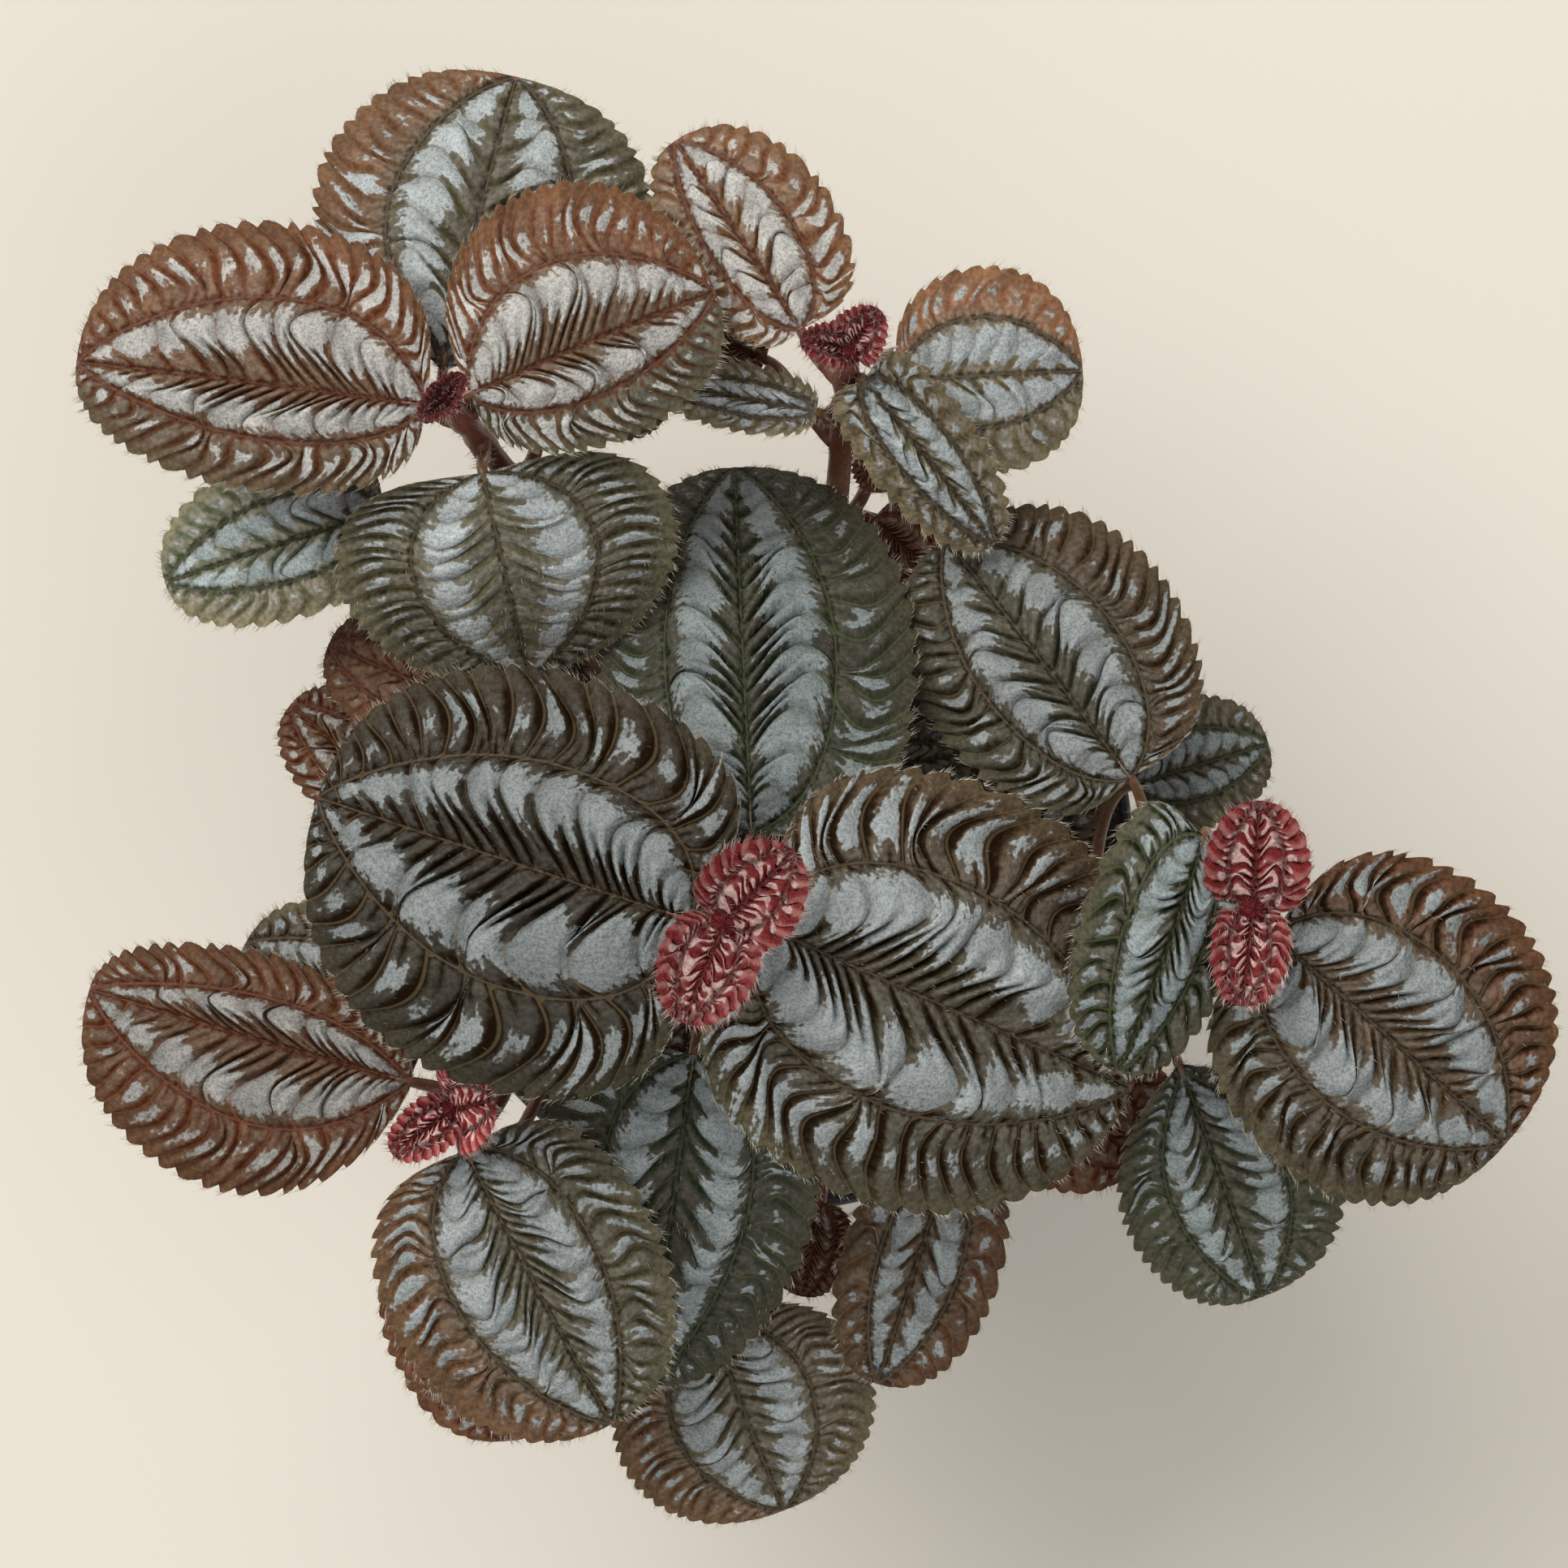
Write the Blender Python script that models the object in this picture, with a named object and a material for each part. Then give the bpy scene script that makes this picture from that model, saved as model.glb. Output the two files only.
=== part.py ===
"""Potted friendship plant: a trailing pilea with quilted, silver-banded leaves in a plain nursery pot.

Tables are in millimetres, in the plant's own frame: the pot's axis is Z, its foot stands on Z 0, and the
longest trailing stem leans towards +X. Each leaf is given by the points where its blade starts and ends.
"""

import math
from collections import namedtuple

import bmesh
import bpy
import numpy as np
from mathutils import Matrix, Vector

MM = 0.001
OFF_AXIS = (0.3, 0.9, 0.1)

# The pot, a moulded 12 cm nursery pot, and the soil that fills it.
POT_HEIGHT = 100.0
POT_FOOT_RADIUS = 42.0
POT_NECK_RADIUS = 56.0
POT_RIM_RADIUS = 60.0
POT_RIM_HEIGHT = 12.0
POT_WALL = 1.6
POT_FOOT_EDGE = 1.5
POT_RIM_EDGE = 0.7
POT_FILLET = 1.0
POT_SIDES = 32
DRAIN_HOLES = 6
DRAIN_RADIUS = 4.5
DRAIN_CIRCLE = 28.0
DRILL_SIDES = 10
SOIL_TOP = 88.0
SOIL_FOOT = 3.2
SOIL_CROWN = 1.6
SOIL_LUMP = 0.7
SOIL_RINGS = 4
SOIL_SIDES = 30
SOIL_GAP = 0.4
STEM_HOLE_DEPTH = 18.0
STEM_HOLE_CLEARANCE = 0.45

# The blade: its outline, its quilting and its thickness.
BLADE_THICKNESS = 0.9
VEIN_SWEEP = 0.1
ROUNDNESS = 0.9
RIM_POWER = 8
SIDE_VEIN = 0.56
BIG_LEAF = 33.0
SMALL_LEAF = 18.0
BIG_ROWS = 14
MIDDLE_ROWS = 10
SMALL_ROWS = 8
TIP_ROWS = 6
WIDE_TIP = 5.0
ROW_BEND = 1.4
BASE_DRAW = 10.0
TOOTH_DEPTH = 1.4
QUILT_HEIGHT = 1.2
EDGE_WAVE = 0.7
PETIOLE_RADIUS = 1.0
PETIOLE_SIDES = 5
PETIOLE_POINTS = 5
PETIOLE_BITE = 0.07
PETIOLE_DEPTH = 1.0
PETIOLE_RISE = 0.3
PETIOLE_LIFT = 0.8
JOINT_GAP = 0.45

# The stems and the buds on their tips.
STEM_FOOT_RADIUS = 2.3
STEM_TOP_RADIUS = 1.7
STEM_POINTS = 9
STEM_STRAIGHT_TO = 90.5
STEM_EASE = 10.0
BUD_RADIUS = 2.4
YOUNG_LIFT = 0.4
YOUNG_ARCH = 0.8
YOUNG_DROP = -2.5

LEAF_FIELDS = "name joint base tip sides drops arch lobe ovate slot"
Leaf = namedtuple("Leaf", LEAF_FIELDS, defaults=(0.14, 0.08, "green"))
YoungLeaf = namedtuple("YoungLeaf", "tip half")

# Each stem's own line, from inside the soil up to its growing tip.
STEMS = {
    "a": ((-4, -4, 72), (-4, -4, 92), (-5, -5, 130), (-7, -8, 170), (-8, -9, 203)),
    "b": ((16, -6, 72), (16, -6, 92), (36, -8, 118), (59, -8, 155), (72, -7, 194)),
    "c": ((-16, -14, 72), (-16, -14, 92), (-30, -24, 112), (-44, -34, 142), (-50.5, -38.5, 174)),
    "d": ((-14, 16, 72), (-14, 16, 92), (-26, 36, 116), (-42, 60, 150), (-50.5, 70.5, 190)),
    "e": ((6, 18, 72), (6, 18, 92), (8, 40, 114), (10, 64, 146), (11, 78.5, 186)),
    "f": ((-20, 2, 72), (-20, 2, 92), (-28, 4, 108), (-38, 9, 126), (-44, 13, 142)),
    "g": ((6, -18, 72), (6, -18, 92), (8, -28, 106), (11, -42, 122), (12, -50, 136)),
}

# The leaves. A name starts with its stem's letter, and joint is the height on that stem where its petiole
# starts. sides are the blade's widths left and right of the midrib, seen from its base, and drops say how
# far each margin hangs. lobe is how far the round lobes reach behind the base, or, below zero, how much the
# base is drawn in. ovate is how much wider the blade is near its base than near its tip.
LEAVES = (
    Leaf("a_left", 188, (-13, -8.5, 198), (-70, 10, 190), (33, 28.5), (8, 7), 5, 0.22),
    Leaf("a_right", 188, (-3, -9, 197), (55, -35, 176), (32, 31.5), (8, 7), 6, 0.16),
    Leaf("a_up", 168, (-4, 4.5, 182), (-7, 63, 142), (22, 26), (9, 6), 6, 0.12, 0.02),
    Leaf("a_down", 166, (-13, -30, 173), (-21, -85, 139), (21, 21), (6, 8), 4, 0.04, 0.2),
    Leaf("a_low_up", 124, (-2, 7, 142), (3, 38, 133), (10, 10), (3, 3), 2),
    Leaf("a_low_left", 118, (-15, -6, 136), (-44, -11, 126), (9.5, 9.5), (3, 3), 2),
    Leaf("a_low_down", 128, (-7, -18, 144), (-12, -46, 136), (9.5, 9.5), (3, 3), 2),
    Leaf("b_right", 180, (75.5, -11, 189), (112.5, -43.5, 178), (26, 24.5), (6, 6), 4, 0.12, 0.0, "rust"),
    Leaf("b_left", 184, (64, -10, 198), (47, -17, 192), (18.5, 26), (7, 8), 4, 0.1),
    Leaf("b_up", 160, (55, 13, 170), (26.5, 51, 154), (18.5, 22.5), (4, 8), 4, 0.1, -0.04),
    Leaf("b_down", 158, (63, -32, 164), (77.5, -70, 148), (18.5, 15.5), (5, 5), 4, -0.1, -0.1),
    Leaf("b_back", 140, (57, 12, 150), (79, 18.5, 142), (10.5, 9.5), (2, 2), 2, 0.1),
    Leaf("b_under", 132, (38, -28, 150), (58, -49.5, 144), (14.5, 14.5), (3, 3), 2, 0.1, 0.08, "rust"),
    Leaf("b_low", 118, (42, 4, 132), (50, 32, 124), (10, 10), (3, 3), 2),
    Leaf("c_left", 166, (-57, -34.5, 170), (-107.5, -20, 168), (23.5, 11.5), (5, 9), 3, -0.04, 0.02, "rust"),
    Leaf("c_right", 164, (-48.5, -45, 172), (-26, -88.5, 164), (19.5, 22.5), (5, 7), 4, 0.1, 0.06),
    Leaf("c_back", 150, (-56, -29, 158), (-85, -13.5, 150), (14, 14), (3, 3), 2),
    Leaf("c_low_left", 140, (-51.5, -51, 150), (-53, -86, 142), (10.5, 10.5), (3, 3), 2, 0.1, -0.1),
    Leaf("c_low_right", 126, (-47, -58, 140), (-44.5, -95, 132), (16, 16), (3, 3), 2, 0.1, 0.08, "rust"),
    Leaf("c_low_up", 106, (-38, -15, 118), (-64, -4, 110), (9.5, 9.5), (2, 2), 2),
    Leaf("d_left", 180, (-54, 70, 185), (-108, 77, 180), (15, 24), (4, 6), 4, 0.05, 0.08, "rust"),
    Leaf("d_right", 181, (-47, 71.5, 187), (-9.5, 87.5, 184), (24.5, 14.5), (6, 4), 4, 0.04, 0.0, "rust"),
    Leaf("d_top", 166, (-52, 76, 174), (-41, 123, 164), (25.5, 25.5), (10, 6), 5, -0.14, -0.16),
    Leaf("d_down", 170, (-45.5, 60, 178), (-39, 29, 161), (26.5, 25), (7, 9), 5, 0.1, 0.12),
    Leaf("d_small", 150, (-62, 55, 162), (-97.5, 44, 152), (11, 13), (2, 2), 2),
    Leaf("d_low", 150, (-33, 76, 156), (-17.5, 72, 148), (7, 7), (2, 2), 1),
    Leaf("d_low_left", 110, (-34, 33, 124), (-61, 27, 114), (9.5, 9.5), (3, 3), 2),
    Leaf("e_up", 174, (4.5, 82.5, 181), (-11.5, 115, 172), (15.5, 13), (4, 4), 3, -0.04, 0.04, "rust"),
    Leaf("e_down", 174, (14.5, 72.5, 181), (34, 50, 164), (8, 6.5), (7, 7), 3, 0.04),
    Leaf("e_right", 158, (19, 75, 166), (48, 77, 162), (16.5, 14.5), (3, 3), 3, 0.08, 0.0, "rust"),
    Leaf("e_left", 164, (6, 70, 170), (-20, 75, 166), (4.5, 5), (3, 3), 2, 0.04),
    Leaf("e_low_left", 152, (-2, 79, 160), (-13.5, 83.5, 156), (4.5, 4.5), (1, 1), 1, 0.06, 0.08, "rust"),
    Leaf("e_low_right", 122, (15.5, 55, 132), (26, 46, 126), (7, 7), (2, 2), 1, 0.06, 0.08, "rust"),
    Leaf("e_low", 132, (16.5, 68, 143), (16, 59, 138), (4, 4), (1, 1), 1, 0.06, 0.08, "rust"),
    Leaf("e_low_inner", 100, (10, 14, 134), (32, 17, 130), (6, 6), (1, 1), 1),
    Leaf("e_low_front", 108, (16, 42, 120), (40, 54, 110), (9.5, 9.5), (3, 3), 2),
    Leaf("f_up", 136, (-49, 24.5, 148), (-72.5, 34.5, 140), (9.5, 9.5), (2, 2), 2, 0.08, 0.08, "rust"),
    Leaf("f_left", 132, (-59, 8, 140), (-79.5, 25, 130), (9, 9), (2, 2), 2, 0.08, 0.08, "rust"),
    Leaf("f_small", 124, (-50, 19, 136), (-61, 27.5, 130), (6, 6), (1, 1), 1),
    Leaf("g_down", 112, (-11, -75, 138), (1, -106.5, 130), (20.5, 21), (5, 5), 3, 0.06, 0.0),
    Leaf("g_right", 130, (27, -49, 150), (16, -85, 138), (12.5, 11), (3, 3), 3),
    Leaf("g_small", 126, (7, -56, 134), (4, -72, 126), (6, 6), (1, 1), 1, 0.06, 0.08, "rust"),
)

# The growing tips: two young crinkled leaves each, cupped up round the bud. half is half a leaf's width.
TIPS = {
    "a": (YoungLeaf((2.5, 2, 211), 7.5), YoungLeaf((-14, -23.5, 210), 7)),
    "b": (YoungLeaf((72.5, 9.5, 200), 7.5), YoungLeaf((70, -21.5, 198), 5.5)),
    "c": (YoungLeaf((-45, -42.5, 180), 4), YoungLeaf((-59, -45, 179), 3)),
    "d": (YoungLeaf((-54, 67, 195), 2.2), YoungLeaf((-47.5, 74, 195), 2.2)),
    "e": (YoungLeaf((15.5, 84, 192), 4), YoungLeaf((3.5, 79.5, 191), 3)),
}

SLOTS = {
    "green": ("leaf_silver_green", (0.10, 0.13, 0.10), 0.55),
    "rust": ("leaf_silver_rust", (0.22, 0.09, 0.05), 0.5),
    "young": ("young_leaf_red", (0.45, 0.04, 0.06), 0.5),
    "stem": ("stem_red_brown", (0.30, 0.10, 0.06), 0.6),
    "pot": ("pot_plastic_black", (0.02, 0.02, 0.02), 0.45),
    "soil": ("potting_soil", (0.05, 0.035, 0.025), 0.95),
}


def clear_scene():
    for thing in list(bpy.data.objects):
        bpy.data.objects.remove(thing)


def material(slot):
    """The Principled material of a slot, made once."""
    name, colour, roughness = SLOTS[slot]
    found = bpy.data.materials.get(name)
    if found:
        return found
    made = bpy.data.materials.new(name)
    made.use_nodes = True
    shader = made.node_tree.nodes["Principled BSDF"]
    shader.inputs["Base Color"].default_value = (*colour, 1)
    shader.inputs["Roughness"].default_value = roughness
    return made


def add_object(name, mesh, slot):
    made = bpy.data.objects.new(name, mesh)
    bpy.context.scene.collection.objects.link(made)
    mesh.materials.append(material(slot))
    return made


def mesh_of(name, points_mm, faces):
    """A mesh from points in millimetres, with its faces turned outwards."""
    mesh = bpy.data.meshes.new(name)
    mesh.from_pydata((np.asarray(points_mm) * MM).tolist(), [], faces)
    work = bmesh.new()
    work.from_mesh(mesh)
    bmesh.ops.recalc_face_normals(work, faces=work.faces)
    work.to_mesh(mesh)
    work.free()
    return mesh


def unit(vector):
    return vector / np.linalg.norm(vector)


def smooth_line(points, count):
    """A Catmull-Rom curve through the points, read at count even steps."""
    knots = np.array(points, float)
    padded = np.vstack([2 * knots[0] - knots[1], knots, 2 * knots[-1] - knots[-2]])
    where = np.linspace(0, len(knots) - 1, count)
    span = np.minimum(where.astype(int), len(knots) - 2)
    u = (where - span)[:, None]
    p0, p1, p2, p3 = (padded[span + i] for i in range(4))
    return 0.5 * (2 * p1 + (p2 - p0) * u + (2 * p0 - 5 * p1 + 4 * p2 - p3) * u**2
                  + (3 * p1 - p0 - 3 * p2 + p3) * u**3)


def tube(points, radii, sides):
    """Points and faces of a closed tube: one ring of points round each point of the line."""
    line = np.asarray(points, float)
    along = np.gradient(line, axis=0)
    along /= np.linalg.norm(along, axis=1)[:, None]
    first = unit(np.cross(along[0], OFF_AXIS))
    rings = []
    for place, way, radius in zip(line, along, radii):
        first = unit(first - way * (first @ way))
        second = np.cross(way, first)
        turn = np.linspace(0, 2 * math.pi, sides, endpoint=False)[:, None]
        rings.append(place + radius * (np.cos(turn) * first + np.sin(turn) * second))
    faces = []
    for r in range(len(rings) - 1):
        for s in range(sides):
            low, n = r * sides, (s + 1) % sides
            faces.append([low + s, low + n, low + sides + n, low + sides + s])
    faces.append(list(range(sides)))
    faces.append(list(range((len(rings) - 1) * sides, len(rings) * sides)))
    return np.vstack(rings), faces


def join_by_union(body, others):
    """Fuses the others into the body with one Boolean union, then removes them."""
    group = bpy.data.collections.new(body.name + "_pieces")
    bpy.context.scene.collection.children.link(group)
    for other in others:
        bpy.context.scene.collection.objects.unlink(other)
        group.objects.link(other)
    union = body.modifiers.new("union", "BOOLEAN")
    union.operation = "UNION"
    union.operand_type = "COLLECTION"
    union.collection = group
    bpy.context.view_layer.update()
    fused = bpy.data.meshes.new_from_object(body.evaluated_get(bpy.context.evaluated_depsgraph_get()))
    body.modifiers.clear()
    body.data = fused
    for other in others:
        bpy.data.objects.remove(other)
    bpy.data.collections.remove(group)


def stem_line(stem):
    """A stem's centre line: upright in the soil, then eased into the curve through its own points."""
    line = smooth_line(STEMS[stem], STEM_POINTS)
    leave = np.clip((line[:, 2:] - STEM_STRAIGHT_TO) / STEM_EASE, 0, 1)
    line[:, :2] = line[0, :2] + (line[:, :2] - line[0, :2]) * leave
    return line


def stem_radius(z, stem):
    low, high = STEMS[stem][0][2], STEMS[stem][-1][2]
    return STEM_FOOT_RADIUS + (STEM_TOP_RADIUS - STEM_FOOT_RADIUS) * (z - low) / (high - low)


def stem_point(stem, z):
    """The point on a stem's centre line at a height, since every stem only climbs."""
    line = stem_line(stem)
    return np.array([np.interp(z, line[:, 2], line[:, 0]), np.interp(z, line[:, 2], line[:, 1]), z])


def stem_way(stem, z):
    return unit(stem_point(stem, z + 1) - stem_point(stem, z - 1))


def blade_frame(base, tip):
    """Along the chord, across to the level left, and up from the blade."""
    along = unit(np.array(tip, float) - np.array(base, float))
    across = unit(np.cross((0, 0, 1.0), along))
    return along, across, np.cross(along, across)


def blade_surface(leaf, length, t, a, teeth):
    """A blade's upper face in its own frame: along, across and height.

    t runs from base to tip, and a from -1 at the right margin to 1 at the left one. The margin is half a
    turn, bent to the front by the sweep of the veins, with round lobes behind the base. Each row leaves the
    midrib squarely and bends forward to the margin. The height is the arch of the midrib, less the drop of
    each margin, plus a pillow in every cell between two side veins and a waved margin.
    """
    turn = np.pi * (t + VEIN_SWEEP * np.sin(np.pi * t))
    lobe = max(leaf.lobe, 0) * np.sin(turn) * np.clip(np.cos(turn), 0, None)
    draw_in = BASE_DRAW * max(-leaf.lobe, 0) * (1 - t) ** 2
    edge_along = (1 - np.cos(turn)) / 2 - lobe
    bulge = np.clip(np.sin(turn), 0, None) ** (ROUNDNESS + draw_in)
    edge_across = bulge * (1 + leaf.ovate * np.cos(turn))
    side = np.abs(a)
    rib = np.abs(np.sin(np.pi * teeth * t)) * edge_across
    rim = side**RIM_POWER
    along = length * (t + (edge_along - t) * side**ROW_BEND)
    half = np.where(a > 0, leaf.sides[0], leaf.sides[1])
    drop = np.where(a > 0, leaf.drops[0], leaf.drops[1])
    across = (half * edge_across * side + TOOTH_DEPTH * rib * rim) * np.sign(a)
    share = np.clip(along / length, 0, 1)
    pillow = np.sin(np.pi * np.clip(side / SIDE_VEIN, 0, 1))
    height = 4 * leaf.arch * share * (1 - share) - drop * (edge_across * side) ** 2
    return along, across, height + rib * (QUILT_HEIGHT * pillow + EDGE_WAVE * rim)


def sheet_faces(rows, columns):
    """Triangles of a sheet that starts and ends in a point, mirrored about its midrib."""
    count = len(columns)
    last = 1 + (rows - 1) * count
    faces = []
    for c in range(count - 1):
        far = 1 + (rows - 2) * count + c
        faces.append((1 + c, 2 + c, 0))
        faces.append((far + 1, far, last))
        for r in range(rows - 2):
            corner = 1 + r * count + c
            ring = [corner, corner + count, corner + count + 1, corner + 1]
            if columns[c] < 0:
                ring = ring[1:] + ring[:1]
            faces.append((ring[0], ring[1], ring[2]))
            faces.append((ring[0], ring[2], ring[3]))
    return faces


def add_blade(name, leaf, rows, half):
    """A blade: a sheet with the same columns both sides of its midrib, which Solidify thickens downwards."""
    columns = [-c for c in reversed(half)] + [0, *half]
    along, across, up = blade_frame(leaf.base, leaf.tip)
    base, tip = np.array(leaf.base, float), np.array(leaf.tip, float)
    t, a = np.meshgrid(np.linspace(0, 1, rows + 1)[1:-1], columns, indexing="ij")
    x, y, z = blade_surface(leaf, np.linalg.norm(tip - base), t, a, rows // 2)
    sheet = base + x[..., None] * along + y[..., None] * across + z[..., None] * up
    points = np.vstack([base, sheet.reshape(-1, 3), tip])
    mesh = bpy.data.meshes.new(name)
    mesh.from_pydata((points * MM).tolist(), [], sheet_faces(rows, columns))
    blade = add_object(name, mesh, leaf.slot)
    thicken = blade.modifiers.new("thickness", "SOLIDIFY")
    thicken.thickness = BLADE_THICKNESS * MM
    thicken.offset = -1
    return blade


def petiole_line(leaf):
    """From the stem's side, out and up to the blade, then a little way under it along the midrib."""
    stem = leaf.name[0]
    joint = stem_point(stem, leaf.joint)
    base = np.array(leaf.base, float)
    along, _, up = blade_frame(leaf.base, leaf.tip)
    length = np.linalg.norm(np.array(leaf.tip) - base)
    way = stem_way(stem, leaf.joint)
    side = unit((base - joint) - way * ((base - joint) @ way))
    start = joint + side * (stem_radius(leaf.joint, stem) + PETIOLE_RADIUS * 0.7 + JOINT_GAP)
    outward = unit(side + PETIOLE_RISE * way)
    slope = unit(along + up * 4 * leaf.arch / length)
    neck = base - up * PETIOLE_DEPTH
    reach = np.linalg.norm(neck - start) / 3
    arrival = unit(slope + (0, 0, PETIOLE_LIFT))
    controls = start, start + outward * reach, neck - arrival * reach, neck
    count = int(np.clip(reach * 1.5, 3, PETIOLE_POINTS))
    steps = np.linspace(0, 1, count)[:, None]
    bend = sum(math.comb(3, i) * steps**i * (1 - steps) ** (3 - i) * controls[i] for i in range(4))
    return np.vstack([bend, neck + slope * length * PETIOLE_BITE])


def add_leaf(leaf):
    """A leaf: its quilted blade, fused with its petiole, which starts JOINT_GAP from the stem."""
    width = sum(leaf.sides)
    rows = BIG_ROWS if width > BIG_LEAF else MIDDLE_ROWS if width > SMALL_LEAF else SMALL_ROWS
    half = (SIDE_VEIN / 2, SIDE_VEIN, 1) if width > BIG_LEAF else (SIDE_VEIN / 2, 1)
    blade = add_blade("leaf_" + leaf.name, leaf, rows, half)
    line = petiole_line(leaf)
    radii = np.linspace(PETIOLE_RADIUS * 1.2, PETIOLE_RADIUS * 0.8, len(line))
    stalk = add_object("petiole", mesh_of("petiole", *tube(line, radii, PETIOLE_SIDES)), leaf.slot)
    join_by_union(blade, [stalk])


def add_stem(name):
    """A fleshy stem that thins upwards, as a beveled curve with filled ends."""
    line = stem_line(name)
    top = line[-1]
    line[-1] = top - unit(top - line[-2]) * (BUD_RADIUS + JOINT_GAP if name in TIPS else 0)
    curve = bpy.data.curves.new("stem_" + name, "CURVE")
    curve.dimensions = "3D"
    curve.bevel_depth = MM
    curve.bevel_resolution = 2
    curve.use_fill_caps = True
    spline = curve.splines.new("POLY")
    spline.points.add(len(line) - 1)
    for point, place in zip(spline.points, line):
        point.co = (*(place * MM), 1)
        point.radius = stem_radius(place[2], name)
    add_object("stem_" + name, curve, "stem")


def add_tip(name):
    """A growing tip: a bud with two young leaves, all fused."""
    centre = np.array(STEMS[name][-1], float)
    bud_mesh = bpy.data.meshes.new("bud")
    work = bmesh.new()
    bmesh.ops.create_icosphere(work, subdivisions=1, radius=BUD_RADIUS * MM,
                               matrix=Matrix.Translation(Vector(centre * MM)))
    work.to_mesh(bud_mesh)
    work.free()
    bud = add_object("tip_" + name, bud_mesh, "young")
    leaves = []
    for young in TIPS[name]:
        shape = Leaf("young", None, centre + (0, 0, YOUNG_LIFT), young.tip, (young.half, young.half),
                     (YOUNG_DROP, YOUNG_DROP), YOUNG_ARCH, slot="young")
        leaves.append(add_blade("young", shape, TIP_ROWS, (0.5, 1) if young.half > WIDE_TIP else (1,)))
    join_by_union(bud, leaves)


def add_pot():
    """The pot: one wall turned about the axis, with a step out to its rim and round holes in its foot."""
    inner_foot = POT_FOOT_RADIUS - POT_WALL
    inner_neck = POT_NECK_RADIUS - POT_WALL
    rim_low = POT_HEIGHT - POT_RIM_HEIGHT
    inner_rim = POT_RIM_RADIUS - POT_WALL
    profile = [
        (0, 0), (POT_FOOT_RADIUS - POT_FOOT_EDGE, 0), (POT_FOOT_RADIUS, POT_FOOT_EDGE),
        (POT_NECK_RADIUS, rim_low), (POT_RIM_RADIUS - POT_RIM_EDGE, rim_low),
        (POT_RIM_RADIUS, rim_low + POT_RIM_EDGE), (POT_RIM_RADIUS, POT_HEIGHT), (inner_rim, POT_HEIGHT),
        (inner_rim, rim_low + 2 * POT_WALL), (inner_neck, rim_low + POT_WALL),
        (inner_foot, POT_WALL + POT_FILLET), (0, POT_WALL),
    ]
    work = bmesh.new()
    points = [work.verts.new((r * MM, 0, z * MM)) for r, z in profile]
    edges = [work.edges.new(pair) for pair in zip(points, points[1:])]
    bmesh.ops.spin(work, geom=points + edges, cent=(0, 0, 0), axis=(0, 0, 1), angle=2 * math.pi,
                   steps=POT_SIDES, use_merge=True)
    bmesh.ops.remove_doubles(work, verts=work.verts, dist=0.00001)
    bmesh.ops.recalc_face_normals(work, faces=work.faces)
    mesh = bpy.data.meshes.new("pot")
    work.to_mesh(mesh)
    work.free()
    mesh.shade_smooth()
    mesh.set_sharp_from_angle(angle=math.radians(35))
    pot = add_object("pot", mesh, "pot")
    drills = []
    for i in range(DRAIN_HOLES):
        turn = 2 * math.pi * i / DRAIN_HOLES
        place = (DRAIN_CIRCLE * math.cos(turn), DRAIN_CIRCLE * math.sin(turn), 0)
        drills.append(add_drill(place, DRAIN_RADIUS, -POT_WALL, 3 * POT_WALL))
    cut_with(pot, drills)


def add_drill(place, radius, low, high):
    """A closed upright cylinder that only cuts."""
    line = [(place[0], place[1], low), (place[0], place[1], high)]
    return add_object("drill", mesh_of("drill", *tube(line, (radius, radius), DRILL_SIDES)), "soil")


def cut_with(body, drills):
    """Moves the drills to a group of their own that doesn't render, and cuts them all from the body."""
    group = bpy.data.collections.new(body.name + "_drills")
    bpy.context.scene.collection.children.link(group)
    for drill in drills:
        bpy.context.scene.collection.objects.unlink(drill)
        group.objects.link(drill)
        drill.hide_render = True
        drill.display_type = "WIRE"
    cut = body.modifiers.new("holes", "BOOLEAN")
    cut.operation = "DIFFERENCE"
    cut.operand_type = "COLLECTION"
    cut.collection = group


def pot_inner_radius(z):
    low = POT_WALL + POT_FILLET
    high = POT_HEIGHT - POT_RIM_HEIGHT + POT_WALL
    share = (z - low) / (high - low)
    return POT_FOOT_RADIUS - POT_WALL + (POT_NECK_RADIUS - POT_FOOT_RADIUS) * share


def soil_points():
    """The top's centre, rings out to the pot's wall with two waves for lumps, and a ring at the foot."""
    turn = np.linspace(0, 2 * np.pi, SOIL_SIDES, endpoint=False)
    outer = pot_inner_radius(SOIL_TOP) - SOIL_GAP
    foot = pot_inner_radius(SOIL_FOOT) - SOIL_GAP
    points = [(0, 0, SOIL_TOP + SOIL_CROWN)]
    for ring in range(1, SOIL_RINGS + 1):
        radius = outer * ring / SOIL_RINGS
        lumps = np.sin(5 * turn + 1.3 * ring) + 0.7 * np.sin(11 * turn - 2.1 * ring)
        crown = SOIL_CROWN * (1 - (ring / SOIL_RINGS) ** 2)
        height = SOIL_TOP + crown + SOIL_LUMP * lumps * (ring < SOIL_RINGS)
        points.extend(np.column_stack([radius * np.cos(turn), radius * np.sin(turn), height]))
    low = np.full(SOIL_SIDES, SOIL_FOOT)
    points.extend(np.column_stack([foot * np.cos(turn), foot * np.sin(turn), low]))
    return points


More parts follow.
